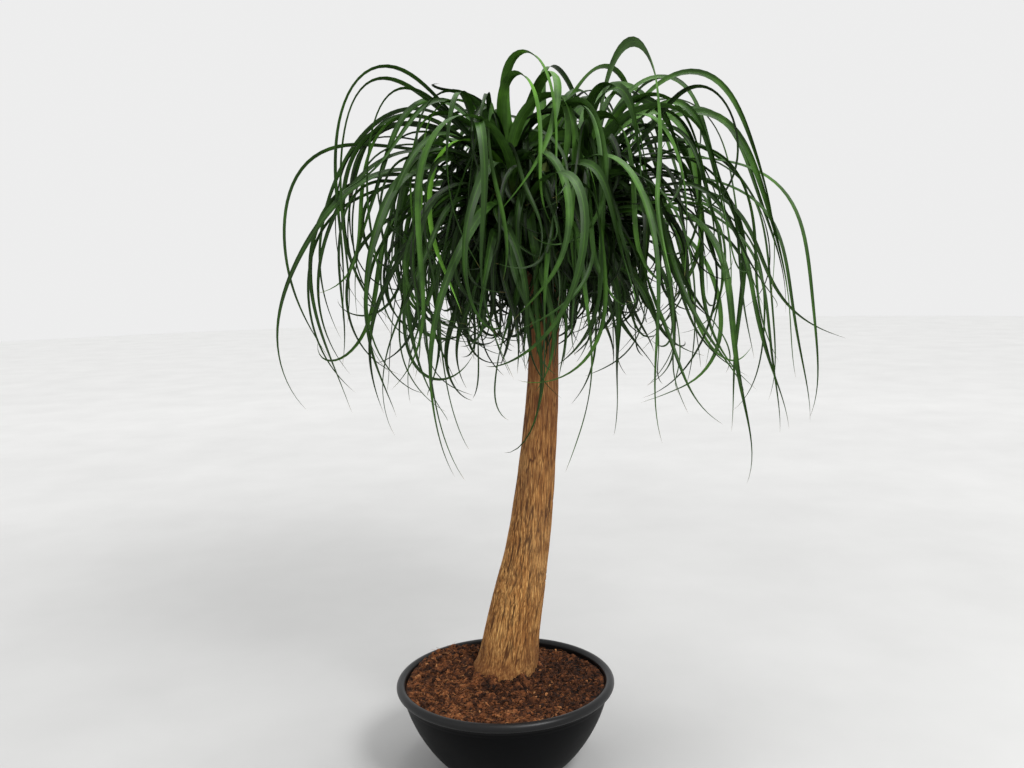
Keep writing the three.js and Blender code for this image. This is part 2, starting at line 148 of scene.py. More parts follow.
def rolled_grid(
    name: str, around: int, rows: int, place: Callable[[float, float], Vector]
) -> bpy.types.Object:
    """Rolls a flat grid into a tube or a turned shape.

    Args:
        name: The object's name.
        around: Faces round the shape.
        rows: Faces along it.
        place: Gives a corner's place from its share of the way round and its share of the way along.

    Returns:
        The closed mesh object.
    """
    deselect_everything()
    bpy.ops.mesh.primitive_grid_add(x_subdivisions=around, y_subdivisions=rows, size=1.0)
    piece = bpy.context.active_object
    piece.name = name
    piece.data.name = name
    for corner in piece.data.vertices:
        corner.co = place(corner.co.x + 0.5, corner.co.y + 0.5)
    close_and_face_out(piece)
    return piece


def mesh_piece(
    name: str, corners: np.ndarray, faces: list[Face], edges: list[tuple[int, int]] | None = None
) -> bpy.types.Object:
    """Makes a mesh object from corners that are already in place.

    Args:
        name: The object's name.
        corners: The corners' places.
        faces: The faces, by their corners' numbers.
        edges: Edges that no face brings with it.

    Returns:
        The mesh object.
    """
    mesh = bpy.data.meshes.new(name)
    mesh.from_pydata(corners.tolist(), edges or [], faces)
    mesh.update()
    piece = bpy.data.objects.new(name, mesh)
    bpy.context.scene.collection.objects.link(piece)
    return piece


def store_numbers(piece: bpy.types.Object, name: str, values: np.ndarray) -> None:
    """Keeps one number a corner on a mesh, for its material to read."""
    layer = piece.data.attributes.new(name, "FLOAT", "POINT")
    layer.data.foreach_set("value", np.asarray(values, dtype=np.float32))


def add_piece(
    piece: bpy.types.Object, slot: Slot, finish: bpy.types.Material, replaced: tuple[str, ...] = ()
) -> None:
    """Dresses a finished piece and ties it to the frame.

    Args:
        piece: The mesh object.
        slot: The record's slot that its finish comes from; not used.
        finish: Its material.
        replaced: The solids that it stands for.
    """
    piece.data.materials.clear()
    piece.data.materials.append(finish)
    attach(piece, BODY)
    if replaced:
        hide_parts(*replaced)
    piece.data.calc_loop_triangles()
    logger.info("%s: %d triangles", piece.name, len(piece.data.loop_triangles))


class Heap:
    """Many small shapes that become one mesh, with a tone for each."""

    def __init__(self) -> None:
        """Starts empty."""
        self.corners: list[np.ndarray] = []
        self.faces: list[Face] = []
        self.tones: list[np.ndarray] = []
        self.count = 0

    def add(self, corners: np.ndarray, faces: list[Face], tone: float) -> None:
        """Adds one shape.

        Args:
            corners: Its corners' places.
            faces: Its faces, by its own corners' numbers.
            tone: How light it is.
        """
        self.corners.append(corners)
        self.faces += [tuple(self.count + index for index in face) for face in faces]
        self.tones.append(np.full(len(corners), tone))
        self.count += len(corners)

    def piece(self, name: str) -> bpy.types.Object:
        """Makes the mesh object.

        Args:
            name: The object's name.

        Returns:
            The object, with the tones kept on its corners.
        """
        piece = mesh_piece(name, np.concatenate(self.corners), self.faces)
        store_numbers(piece, "tone", np.concatenate(self.tones))
        return piece


class NodeSheet:
    """One material's nodes, with a Principled shader at their end."""

    def __init__(self, name: str) -> None:
        """Starts a material with only its shader, its output and the piece's own coordinates.

        Args:
            name: The material's name.
        """
        self.material = bpy.data.materials.new(name)
        self.material.use_nodes = True
        self.tree = self.material.node_tree
        self.tree.nodes.clear()
        output = self.tree.nodes.new("ShaderNodeOutputMaterial")
        self.shader = self.tree.nodes.new("ShaderNodeBsdfPrincipled")
        self.tree.links.new(self.shader.outputs["BSDF"], output.inputs["Surface"])
        self.where = self.place()

    def add(self, kind: str, settings: dict[str, object] | None = None, **inputs: object) -> bpy.types.Node:
        """Adds a node.

        Args:
            kind: The node's type, without its ShaderNode prefix.
            settings: The node's own properties.
            **inputs: Input values or output sockets, by socket name with underscores for spaces.

        Returns:
            The new node.
        """
        node = self.tree.nodes.new("ShaderNode" + kind)
        for key, value in (settings or {}).items():
            setattr(node, key, value)
        for key, value in inputs.items():
            self.feed(node.inputs[key.replace("_", " ")], value)
        return node

    def feed(self, socket: Socket, value: object) -> None:
        """Links an output to an input, or sets the input's value.

        Args:
            socket: The input.
            value: An output's socket or a plain value.
        """
        if isinstance(value, Socket):
            self.tree.links.new(value, socket)
        else:
            socket.default_value = value

    def ramp(self, source: Socket, stops: list[tuple[float, Colour]]) -> Socket:
        """Turns a number into a colour.

        Args:
            source: The number's socket.
            stops: Positions and colours, lowest first.

        Returns:
            The colour's socket.
        """
        node = self.add("ValToRGB", None, Fac=source)
        elements = node.color_ramp.elements
        while len(elements) < len(stops):
            elements.new(0.5)
        for element, (position, colour) in zip(elements, stops):
            element.position = position
            element.color = (*colour, 1.0)
        return node.outputs["Color"]

    def mix(
        self,
        share: Socket | float,
        first: Socket | Colour,
        second: Socket | Colour,
        blend: Blend = Blend.MIX,
    ) -> Socket:
        """Mixes two colours.

        Args:
            share: How much of the second there is.
            first: The first colour.
            second: The second colour.
            blend: The way to lay the second over the first.

        Returns:
            The colour's socket.
        """
        node = self.add("Mix", {"data_type": "RGBA", "blend_type": blend.value})
        self.feed(node.inputs[0], share)
        for index, value in ((6, first), (7, second)):
            self.feed(node.inputs[index], value if isinstance(value, Socket) else (*value, 1.0))
        return node.outputs[2]

    def shaded(self, colour: Socket, light: Socket) -> Socket:
        """Makes a colour lighter or darker by a number."""
        return self.mix(1.0, colour, light, Blend.MULTIPLY)

    def math(self, operation: Sum, first: Socket | float, second: Socket | float = 0.0) -> Socket:
        """Does one sum on numbers.

        Args:
            operation: The sum.
            first: The first number.
            second: The second number, where the sum has one.

        Returns:
            The result's socket.
        """
        node = self.add("Math", {"operation": operation.value})
        self.feed(node.inputs[0], first)
        self.feed(node.inputs[1], second)
        return node.outputs[0]

    def plus(self, first: Socket | float, second: Socket | float) -> Socket:
        """Adds two numbers."""
        return self.math(Sum.ADD, first, second)

    def times(self, first: Socket | float, second: Socket | float) -> Socket:
        """Multiplies two numbers."""
        return self.math(Sum.MULTIPLY, first, second)

    def span(self, source: Socket, low: float, high: float, to_low: float, to_high: float) -> Socket:
        """Maps a number's span onto another and holds it there.

        Args:
            source: The number.
            low: Where its span starts.
            high: Where its span ends.
            to_low: What the start becomes.
            to_high: What the end becomes.

        Returns:
            The result's socket.
        """
        node = self.add("MapRange", {"clamp": True}, Value=source)
        for name, value in (("From Min", low), ("From Max", high), ("To Min", to_low), ("To Max", to_high)):
            node.inputs[name].default_value = value
        return node.outputs["Result"]

    def vary(
        self, number: Socket, source: Socket, reach: float, low: float = 0.3, high: float = 0.7
    ) -> Socket:
        """Moves a number up and down with a noise.

        Args:
            number: The number.
            source: The noise.
            reach: The furthest that the number moves either way.
            low: The noise that moves it furthest down.
            high: The noise that moves it furthest up.

        Returns:
            The moved number's socket.
        """
        return self.plus(number, self.span(source, low, high, -reach, reach))

    def place(self, level: float = 1.0, up: float = 1.0) -> Socket:
        """Gives the piece's own coordinates, stretched.

        Args:
            level: The stretch along X and Y.
            up: The stretch along Z.

        Returns:
            The coordinates' socket.
        """
        where = self.add("TexCoord")
        node = self.add("Mapping", None, Vector=where.outputs["Object"])
        node.inputs["Scale"].default_value = (level, level, up)
        return node.outputs["Vector"]

    def axis(self, vector: Socket, name: str) -> Socket:
        """Takes one coordinate, X, Y or Z, out of a vector."""
        return self.add("SeparateXYZ", None, Vector=vector).outputs[name]

    def noise(self, vector: Socket, scale: float = 1.0, detail: float = 4.0, rough: float = 0.55) -> Socket:
        """Gives soft noise from 0 to 1."""
        node = self.add("TexNoise", None, Vector=vector, Scale=scale, Detail=detail, Roughness=rough)
        return node.outputs["Fac"]

    def bump(self, height: Socket, strength: float, distance: float) -> Socket:
        """Raises the surface's shading by a height."""
        node = self.add("Bump", None, Height=height, Strength=strength, Distance=distance)
        return node.outputs["Normal"]

    def number(self, name: str) -> Socket:
        """Reads a number that is kept on the mesh."""
        node = self.add("Attribute", {"attribute_type": "GEOMETRY", "attribute_name": name})
        return node.outputs["Fac"]

    def dress(self, **inputs: object) -> bpy.types.Material:
        """Feeds the shader.

        Args:
            **inputs: Values or output sockets, by the shader's socket name with underscores for spaces.

        Returns:
            The finished material.
        """
        for key, value in inputs.items():
            self.feed(self.shader.inputs[key.replace("_", " ")], value)
        return self.material


@dataclass(frozen=True)
class PotFinish:
    """Charcoal moulded plastic, matt with a faint sheen where hands have rubbed its lip."""

    body: Colour = (0.0011, 0.0012, 0.0014)
    worn: Colour = (0.0028, 0.0031, 0.0038)
    handled_from: float = 0.146
    handled_to: float = 0.161
    sheen_dull: float = 0.10
    sheen_handled: float = 0.44
    grain_depth: float = 0.0003
    bending: float = 1.4

    def build(self) -> bpy.types.Material:
        """Makes the material.

        Returns:
            The material.
        """
        sheet = NodeSheet("charcoal_plastic")
        cloud = sheet.noise(sheet.where, 9.0, 5.0)
        streak = sheet.noise(sheet.place(14.0, 160.0), 2.0)
        wear = sheet.times(sheet.span(cloud, 0.35, 0.7, 0.0, 1.0), sheet.span(streak, 0.3, 0.75, 0.25, 0.9))
        height = sheet.axis(sheet.where, "Z")
        handled = sheet.span(height, self.handled_from, self.handled_to, 0.0, 1.0)
        dull = sheet.span(cloud, 0.3, 0.7, 0.44, 0.56)
        return sheet.dress(
            Base_Color=sheet.mix(wear, self.body, self.worn),
            Roughness=sheet.math(Sum.SUBTRACT, dull, sheet.times(handled, 0.12)),
            Specular_IOR_Level=sheet.span(handled, 0.0, 1.0, self.sheen_dull, self.sheen_handled),
            Normal=sheet.bump(sheet.noise(sheet.where, 900.0, 2.0), 0.12, self.grain_depth),
            IOR=self.bending,
        )


@dataclass(frozen=True)
class SoilFinish:
    """Coarse fibrous compost, from near black to rust and tan."""

    dark: Colour = (0.0053, 0.0018, 0.0008)
    brown: Colour = (0.051, 0.0165, 0.0053)
    rust: Colour = (0.1875, 0.063, 0.0195)
    tan: Colour = (0.435, 0.2025, 0.078)
    grain_depth: float = 0.0015
    sheen: float = 0.25

    def bed(self, sheet: NodeSheet, fine: Socket) -> tuple[Socket, Socket]:
        """Gives the tone and the grain of the compost's body: pale clump tops and dark hollows, as painted
        light and painted shade by the clumps' height.

        Args:
            sheet: The material's nodes.
            fine: The finest noise.

        Returns:
            The tone and the grain.
        """
        broad = sheet.noise(sheet.where, 60.0, 6.0, 0.7)
        crumb = sheet.add("TexVoronoi", {"feature": "F1"}, Vector=sheet.where, Scale=170.0)
        grey = sheet.add("RGBToBW", None, Color=crumb.outputs["Color"])
        tone = sheet.plus(sheet.times(grey.outputs[0], 0.40), sheet.span(broad, 0.3, 0.7, -0.12, 0.22))
        # Painted light and shade: clump tops lighter and hollows darker, by the crumbs' stored height.
        tone = sheet.plus(tone, sheet.span(sheet.number("rise"), 0.05, 0.75, -0.28, 0.30))
        return tone, sheet.plus(sheet.times(crumb.outputs["Distance"], -1.2), fine)

    def litter(self, sheet: NodeSheet, fine: Socket) -> tuple[Socket, Socket]:
        """Gives the tone, which is kept on the mesh, and the grain of the chips and fibres.

        Args:
            sheet: The material's nodes.
            fine: The finest noise.

        Returns:
            The tone and the grain.
        """
        tone = sheet.vary(sheet.number("tone"), fine, 0.16, 0.2, 0.8)
        return tone, sheet.noise(sheet.place(900.0, 900.0), 1.0, 2.0)

    def build(self, part: CompostPart) -> bpy.types.Material:
        """Makes the material of one part of the compost.

        Args:
            part: The part.

        Returns:
            The material.
        """
        sheet = NodeSheet(part.value)
        fine = sheet.noise(sheet.where, 420.0, 4.0, 0.65)
        tone, grain = self.litter(sheet, fine) if part is CompostPart.LITTER else self.bed(sheet, fine)
        tone = sheet.vary(tone, sheet.noise(sheet.place(9.0, 9.0), 1.0, 3.0), 0.08, 0.35, 0.65)
        # Lighter towards the front left and darker towards the back right.
        back_right_reach = sheet.plus(sheet.axis(sheet.where, "X"), sheet.axis(sheet.where, "Y"))
        tone = sheet.plus(tone, sheet.span(back_right_reach, -0.22, 0.14, 0.09, -0.07))
        stops = [(0.05, self.dark), (0.36, self.brown), (0.68, self.rust), (0.97, self.tan)]
        return sheet.dress(
            Base_Color=sheet.ramp(tone, stops),
            Roughness=sheet.span(fine, 0.3, 0.7, 0.82, 1.0),
            Normal=sheet.bump(grain, 0.7, self.grain_depth),
            Specular_IOR_Level=self.sheen,
        )


@dataclass(frozen=True)
class BarkFinish:
    """Corky bark: golden upright ridges, brown cracks, stained at the foot, and darker towards the leaves,
    where its top carries painted shade from the crown.
    """

    ridge: Colour = (0.315, 0.138, 0.036)
    ridge_pale: Colour = (0.72, 0.405, 0.135)
    ridge_deep: Colour = (0.105, 0.039, 0.0105)
    crack: Colour = (0.039, 0.0145, 0.0042)
    weathered: Colour = (0.135, 0.087, 0.045)
    stained: Colour = (0.150, 0.052, 0.0165)
    young: Colour = (0.120, 0.040, 0.0135)
    stained_zone: tuple[float, float] = (0.18, 0.29)
    young_zone: tuple[float, float] = (0.32, 0.80)
    # Heights where painted shade from the crown darkens the bark's top.
    shaded_zone: tuple[float, float] = (0.79, 0.88)
    grain_depth: float = 0.0011
    sheen: float = 0.25

    def build(self) -> bpy.types.Material:
        """Makes the material.

        Returns:
            The material.
        """
        sheet = NodeSheet("corky_bark")
        streak = sheet.noise(sheet.place(400.0, 20.0), 1.0, 5.0, 0.66)
        thread = sheet.noise(sheet.place(850.0, 60.0), 1.0, 3.0, 0.65)
        cloud = sheet.noise(sheet.where, 15.0, 4.0, 0.6)
        tone = sheet.plus(sheet.times(streak, 0.8), sheet.times(cloud, 0.4))
        ridges = sheet.ramp(tone, [(0.42, self.ridge_deep), (0.57, self.ridge), (0.74, self.ridge_pale)])
        ridges = sheet.shaded(ridges, sheet.span(thread, 0.3, 0.72, 0.60, 1.30))
        cracked = sheet.span(sheet.number("fissure"), 0.10, 0.85, 0.0, 0.92)
        colour = sheet.mix(cracked, ridges, self.crack)
        patch = sheet.noise(sheet.place(9.0, 6.0), 1.0, 3.0, 0.6)
        colour = sheet.mix(sheet.span(patch, 0.48, 0.64, 0.0, 0.24), colour, self.weathered)
        height = sheet.axis(sheet.where, "Z")
        low = sheet.vary(height, cloud, 0.03)
        high = sheet.vary(height, cloud, 0.07)
        colour = sheet.mix(sheet.span(low, *self.stained_zone, 0.55, 0.0), colour, self.stained)
        colour = sheet.mix(sheet.span(high, *self.young_zone, 0.0, 0.76), colour, self.young)
        # Painted shade: the bark under the leaves is darkened with the crack colour for the crown's shadow.
        colour = sheet.mix(sheet.span(high, *self.shaded_zone, 0.0, 0.80), colour, self.crack)
        relief = sheet.plus(sheet.times(streak, 1.5), sheet.times(thread, 0.8))
        return sheet.dress(
            Base_Color=colour,
            Roughness=sheet.span(thread, 0.3, 0.7, 0.76, 0.96),
            Normal=sheet.bump(relief, 0.6, self.grain_depth),
            Specular_IOR_Level=self.sheen,
        )


@dataclass(frozen=True)
class LeafFinish:
    """Satin strap leaves with fine lengthwise veins, pale feet and dry tips."""

    shadow: Colour = (0.0043, 0.0110, 0.0015)
    middle: Colour = (0.0165, 0.0465, 0.0053)
    light: Colour = (0.048, 0.122, 0.0142)
    fresh: Colour = (0.101, 0.255, 0.0205)
    foot: Colour = (0.18, 0.225, 0.0675)
    dry: Colour = (0.21, 0.135, 0.0525)
    veins: float = 26.0
    foot_share: float = 0.09
    dry_from: float = 0.965
    grain_depth: float = 0.0004
    sheen: float = 0.18

    def build(self) -> bpy.types.Material:
        """Makes the material.

        Returns:
            The material.
        """
        sheet = NodeSheet("strap_leaf")
        uv = sheet.add("UVMap", {"uv_map": "leaf"}).outputs["UV"]
        across, along = sheet.axis(uv, "X"), sheet.axis(uv, "Y")
        cloud = sheet.noise(sheet.where, 19.0)
        tone = sheet.vary(sheet.number("tone"), cloud, 0.19)
        # The darkest stop is the colour of painted shade, for the leaves deep inside the crown.
        stops = [(0.0, self.shadow), (0.44, self.middle), (0.76, self.light), (1.0, self.fresh)]
        colour = sheet.ramp(tone, stops)
        lanes = sheet.add(
            "CombineXYZ",
            None,
            X=sheet.times(across, self.veins),
            Y=sheet.times(along, 3.0),
            Z=sheet.number("tone"),
        )
        vein = sheet.noise(lanes.outputs["Vector"], 1.0, 3.0, 0.6)
        colour = sheet.shaded(colour, sheet.span(vein, 0.3, 0.7, 0.72, 1.28))
        from_rib = sheet.math(Sum.SIZE, sheet.math(Sum.SUBTRACT, across, 0.5))
        colour = sheet.mix(sheet.span(from_rib, 0.01, 0.05, 0.22, 0.0), colour, self.fresh)
        colour = sheet.mix(sheet.span(along, 0.0, self.foot_share, 0.7, 0.0), colour, self.foot)
        tip = sheet.vary(along, cloud, 0.015)
        colour = sheet.mix(sheet.span(tip, self.dry_from, 1.0, 0.0, 0.8), colour, self.dry)
        return sheet.dress(
            Base_Color=colour,
            Roughness=sheet.span(vein, 0.3, 0.7, 0.44, 0.60),
            Normal=sheet.bump(vein, 0.35, self.grain_depth),
            Specular_IOR_Level=self.sheen,
        )


@dataclass
class BowlPot:
    """The round bowl pan with its rolled rim and the two fine steps under it."""

    rim_radius: float = 0.200
    height: float = 0.170
    roll_radius: float = 0.008
    roll_start: float = -78.0
    roll_parts: int = 18
    bowl_top_radius: float = 0.189
    bowl_top: float = 0.155
    bowl_parts: int = 34
    bowl_crowding: float = 1.7
    base_radius: float = 0.084
    base_edge: float = 0.003
    fullness: float = 1.45
    wall: float = 0.0035
    floor: float = 0.005
    inside_drop: float = 0.004
    inside_parts: int = 19
    sides: int = 168
    step_heights: tuple[float, ...] = (0.1475, 0.1425)
    step_depth: float = 0.0006
    step_rise: float = 0.001
    step_edges: tuple[float, ...] = (-0.0002, 0.0008)

    def bowl_radius(self, height: float) -> float:
        """Gives the bowl's outer radius.

        Args:
            height: The height above its underside.

        Returns:
            The radius, without the steps.
        """
        down = 1.0 - clamp(height / self.bowl_top)
        swell = (1.0 - down**self.fullness) ** (1.0 / self.fullness)
        return self.base_radius + (self.bowl_top_radius - self.base_radius) * swell

    def inside_radius(self, height: float) -> float:
        """Gives the bowl's inner radius at a height above its floor."""
        return self.bowl_radius(height - self.floor) - self.wall

    def outside_point(self, height: float) -> tuple[float, float]:
        """Gives a point of the outside's section, with its steps.

        Args:
            height: The height above the underside.

        Returns:
            The point's radius and height.
        """
        shares = (smooth_step((height - step) / self.step_rise) for step in self.step_heights)
        out = sum(self.step_depth * share for share in shares)
        return self.bowl_radius(height) + out - self.step_depth, height

    def profile(self) -> list[tuple[float, float]]:
        """Gives the pot's section, from the middle of its underside to the middle of its inside floor.

        Returns:
            The section's points, as radius and height.
        """
        points = [(0.0, 0.0), (self.base_radius * 0.5, 0.0), (self.base_radius - self.base_edge, 0.0)]
        parts = range(1, self.bowl_parts + 1)
        levels = [self.bowl_top * (k / self.bowl_parts) ** self.bowl_crowding for k in parts]
        levels += [step + edge for step in self.step_heights for edge in self.step_edges]
        points += [self.outside_point(level) for level in sorted(levels)]
        middle_radius = self.rim_radius - self.roll_radius
        middle_height = self.height - self.roll_radius
        for k in range(self.roll_parts + 1):
            angle = math.radians(self.roll_start + (180.0 - self.roll_start) * k / self.roll_parts)
            radius = middle_radius + self.roll_radius * math.cos(angle)
            points.append((radius, middle_height + self.roll_radius * math.sin(angle)))
        inside_top = self.bowl_top - self.inside_drop
        for k in range(self.inside_parts + 1):
            level = inside_top - (inside_top - self.floor) * (k / self.inside_parts)
            points.append((self.inside_radius(level), level))
        points.append((0.0, self.floor))
        return points

    def build(self, finish: bpy.types.Material) -> None:
        """Spins the section into the pot.

        Args:
            finish: The pot's material.
        """
        section = np.array([(radius, 0.0, height) for radius, height in self.profile()])
        edges = [(k, k + 1) for k in range(len(section) - 1)]
        pot = mesh_piece("bowl_pot", section, [], edges)
        take_up(pot)
        bpy.ops.object.mode_set(mode="EDIT")
        bpy.ops.mesh.select_all(action="SELECT")
        bpy.ops.mesh.spin(steps=self.sides, angle=FULL_TURN, center=(0.0, 0.0, 0.0), axis=(0.0, 0.0, 1.0))
        bpy.ops.object.mode_set(mode="OBJECT")
        close_and_face_out(pot, 1e-5)
        shade(pot, 35.0)
        add_piece(pot, Slot.POT, finish, ("pot",))


@dataclass
class PalmTrunk:
    """The leaning trunk with its swollen foot, and the three short branches under the leaves.

    A row of the profile gives a height and the middle's x and the radius there. A relief wave has its share,
    its lobes round the trunk and its pitch along it. Noise has so many lumps to a metre, level and upright.
    """

    profile: tuple[tuple[float, float, float], ...] = (
        (0.1005, -0.005, 0.060),
        (0.154, -0.005, 0.062),
        (0.171, -0.0025, 0.0615),
        (0.197, 0.0055, 0.056),
        (0.247, 0.015, 0.0515),
        (0.305, 0.027, 0.048),
        (0.400, 0.046, 0.0405),
        (0.494, 0.060, 0.036),
        (0.587, 0.071, 0.032),
        (0.679, 0.080, 0.029),
        (0.752, 0.084, 0.0265),
        (0.800, 0.086, 0.027),
        (0.862, 0.088, 0.029),
    )
    foot_y: float = 0.037
    top_y: float = 0.034
    hole_bottom: float = 0.100
    fork: tuple[float, float, float] = (0.090, 0.035, 0.862)
    seat: float = 0.925
    seat_gap: float = 0.0004
    foot_rise: float = 0.045
    foot_share: float = 0.02
    foot_closing: float = 3.0
    cap_rise: float = 0.014
    cap_share: float = 0.98
    relief: float = 0.016
    relief_from: float = 0.168
    relief_fade: float = 0.025
    relief_waves: tuple[tuple[float, float, float], ...] = ((0.6, 3.0, 0.070), (0.4, 5.0, -0.043))
    lump: float = 0.0007
    lumps_per_metre: tuple[float, float] = (70.0, 26.0)
    skin: float = 0.0006
    sides: int = 264
    rows: int = 374
    crack_gap: float = 0.0046
    crack_length: float = 0.095
    crack_wander: float = 0.0028
    wanders_per_metre: tuple[float, float] = (26.0, 13.0)
    wide_crack: float = 0.17
    wide_depths: tuple[float, float] = (0.45, 0.55)
    open_shares: tuple[float, float] = (0.5, 1.4)
    opens_per_metre: tuple[float, float] = (60.0, 20.0)
    narrow_crack: float = 0.20
    narrow_depth: float = 0.62
    narrow_finer: tuple[float, float] = (1.9, 2.1)
    narrow_shift: float = 5.0
    fissure_depth: float = 0.0017
    foot_depth: float = 1.15
    depth_lost: float = 0.75
    depth_zone: tuple[float, float] = (0.2, 0.65)
    branch_root_radius: float = 0.021
    branch_seat_radius: float = 0.020
    branch_sunk: float = 0.022
    branch_bends: tuple[float, float] = (0.55, 0.45)
    branch_lump: float = 0.03
    branch_cap_share: float = 0.05
    branch_sides: int = 40
    branch_rows: int = 44

    def at(self, height: float) -> tuple[float, float, float]:
        """Reads the trunk's axis and radius at a height.

        Args:
            height: The height above the pot's underside.

        Returns:
            The axis's x and y and the trunk's radius.
        """
        rows = self.profile
        last = len(rows) - 1
        k = 0
        while k < last - 1 and height > rows[k + 1][0]:
            k += 1
        before = rows[max(0, k - 1)]
        start = rows[k]
        end = rows[k + 1]
        after = rows[min(last, k + 2)]
        t = clamp((height - start[0]) / (end[0] - start[0]))

        def read(column: int) -> float:
            """Reads one column smoothly.

            Args:
                column: The column's number in the profile.

            Returns:
                Its value at the height.
            """
            slope_start = (end[column] - before[column]) / (end[0] - before[0]) * (end[0] - start[0])
            slope_end = (after[column] - start[column]) / (after[0] - start[0]) * (end[0] - start[0])
            bulge = (t - 1.0) ** 2 * t * slope_start + (t - 1.0) * t * t * slope_end
            return start[column] + (end[column] - start[column]) * smooth_step(t) + bulge

        rise = (height - self.hole_bottom) / (self.fork[2] - self.hole_bottom)
        return read(1), self.foot_y + (self.top_y - self.foot_y) * rise, read(2)

    def fissure(self, where: Vector) -> float:
        """Gives how far a point lies in a fissure, from 0 on a plate to 1 in the crack.

        Args:
            where: A point on the smooth trunk.

        Returns:
            The share of the fissure's depth.
        """
        level, up = self.wanders_per_metre
        wander = noise.noise_vector(Vector((where.x * level, where.y * level, where.z * up)))
        wander *= self.crack_wander
        x, y, z = where.x + wander.x, where.y + wander.y, where.z
        gap, length = self.crack_gap, self.crack_length
        long = noise.noise(Vector((x / gap, y / gap, z / length)))
        level, up = self.narrow_finer
        short = noise.noise(Vector((x * level / gap + self.narrow_shift, y * level / gap, z * up / length)))
        level, up = self.opens_per_metre
        usual, swing = self.open_shares
        opening = noise.noise(Vector((where.x * level, where.y * level, where.z * up)))
        least, more = self.wide_depths
        depth = least + more * smooth_step(usual + swing * opening)
        wide = (1.0 - smooth_step(abs(long) / self.wide_crack)) * depth
        narrow = (1.0 - smooth_step(abs(short) / self.narrow_crack)) * self.narrow_depth
        return min(1.0, wide + narrow * (1.0 - wide))

    def trunk_corner(self, u: float, v: float) -> Vector:
        """Places a corner of the trunk.

        Args:
            u: The share of the way round.
            v: The share of the way up, with the closed foot and the domed top at its ends.

        Returns:
            The corner's place.
        """
        angle = FULL_TURN * u
        foot, top = self.profile[0][0], self.fork[2]
        along = clamp((v - self.foot_share) / (self.cap_share - self.foot_share))
        height = foot + self.foot_rise + (top - foot - self.foot_rise) * along
        shrink = 1.0
        if v < self.foot_share:
            height = foot + self.foot_rise * (v / self.foot_share)
            shrink = smooth_step(v / self.foot_share * self.foot_closing)
        elif v > self.cap_share:
            out = (v - self.cap_share) / (1.0 - self.cap_share)
            height = top + self.cap_rise * math.sin(out * math.pi / 2.0)
            shrink = math.cos(out * math.pi / 2.0)
        x, y, radius = self.at(min(height, top))
        above = smooth_step((height - self.relief_from) / self.relief_fade)
        waves = self.relief_waves
        wave = sum(share * math.sin(lobes * angle + height / pitch) for share, lobes, pitch in waves)
        radius *= 1.0 + self.relief * above * wave
        flat = Vector((radius * math.cos(angle), radius * math.sin(angle), height))
        start, reach = self.depth_zone
        lost = self.depth_lost * smooth_step((height - start) / reach)
        depth = self.fissure_depth * (self.foot_depth - lost)
        level, up = self.lumps_per_metre
        lump = noise.noise(Vector((flat.x * level, flat.y * level, height * up)))
        radius += self.skin + self.lump * lump - depth * self.fissure(flat)
        radius *= shrink
        return Vector((x + radius * math.cos(angle), y + radius * math.sin(angle), height))

    def fissure_under(self, corner: Vector) -> float:
        """Gives a corner's share of its fissure's depth, from the smooth trunk under it.

        Args:
            corner: The corner's place.

        Returns:
            The share, for the bark's material.
        """
        x, y, radius = self.at(min(corner.z, self.fork[2]))
        side = Vector((corner.x - x, corner.y - y, 0.0))
        reach = max(1e-6, side.length)
        return self.fissure(Vector((side.x / reach * radius, side.y / reach * radius, corner.z)))

    def build(self, finish: bpy.types.Material) -> None:
        """Makes the trunk.

        Args:
            finish: The bark's material.
        """
        trunk = rolled_grid("trunk_bark", self.sides, self.rows, self.trunk_corner)
        values = [self.fissure_under(corner.co) for corner in trunk.data.vertices]
        store_numbers(trunk, "fissure", np.array(values))
        shade(trunk, 80.0)
        add_piece(trunk, Slot.BARK, finish, ("trunk",))

    def branch_corner(self, foot: tuple[float, float], u: float, v: float) -> Vector:
        """Places a corner of a branch.

        Args:
            foot: The seat's middle, measured from the fork.
            u: The share of the way round.
            v: The share of the way up, with the flat ends in it.

        Returns:
            The corner's place.
        """
        cap = self.branch_cap_share
        angle = FULL_TURN * u
        along = clamp((v - cap) / (1.0 - 2.0 * cap))
        eased, straight = self.branch_bends
        out = smooth_step(along) * eased + along * straight
        radius = self.branch_root_radius + (self.branch_seat_radius - self.branch_root_radius) * along
        if v < cap:
            radius *= v / cap
        if v > 1.0 - cap:
            radius *= (1.0 - v) / cap
        lump = noise.noise(
            Vector((math.cos(angle) * 2.0, math.sin(angle) * 2.0, along * 5.0 + foot[0] * 50.0))
        )
        radius *= 1.0 + self.branch_lump * lump
        x = self.fork[0] + foot[0] * out + radius * math.cos(angle)
        y = self.fork[1] + foot[1] * out + radius * math.sin(angle)
        low = self.fork[2] - self.branch_sunk
        high = self.seat - self.seat_gap
        return Vector((x, y, low + (high - low) * along))

    def build_branch(self, name: str, foot: tuple[float, float], finish: bpy.types.Material) -> None:
        """Makes one short branch, from inside the trunk's top out to its level seat.

        Args:
            name: The branch's name.
            foot: The seat's middle, measured from the fork.
            finish: The bark's material.
        """
        branch = rolled_grid(name, self.branch_sides, self.branch_rows, partial(self.branch_corner, foot))
        values = [self.fissure(corner.co) for corner in branch.data.vertices]
        store_numbers(branch, "fissure", np.array(values))
        shade(branch, 60.0)
        add_piece(branch, Slot.BARK, finish)


@dataclass(frozen=True)
class Skewed:
    """A random size: its least, how far it may pass that, and how rarely it comes near the most."""

    least: float
    spread: float
    power: float = 1.0

    def draw(self, draws: np.random.Generator) -> float:
        """Draws one size."""
        return self.least + self.spread * draws.random() ** self.power


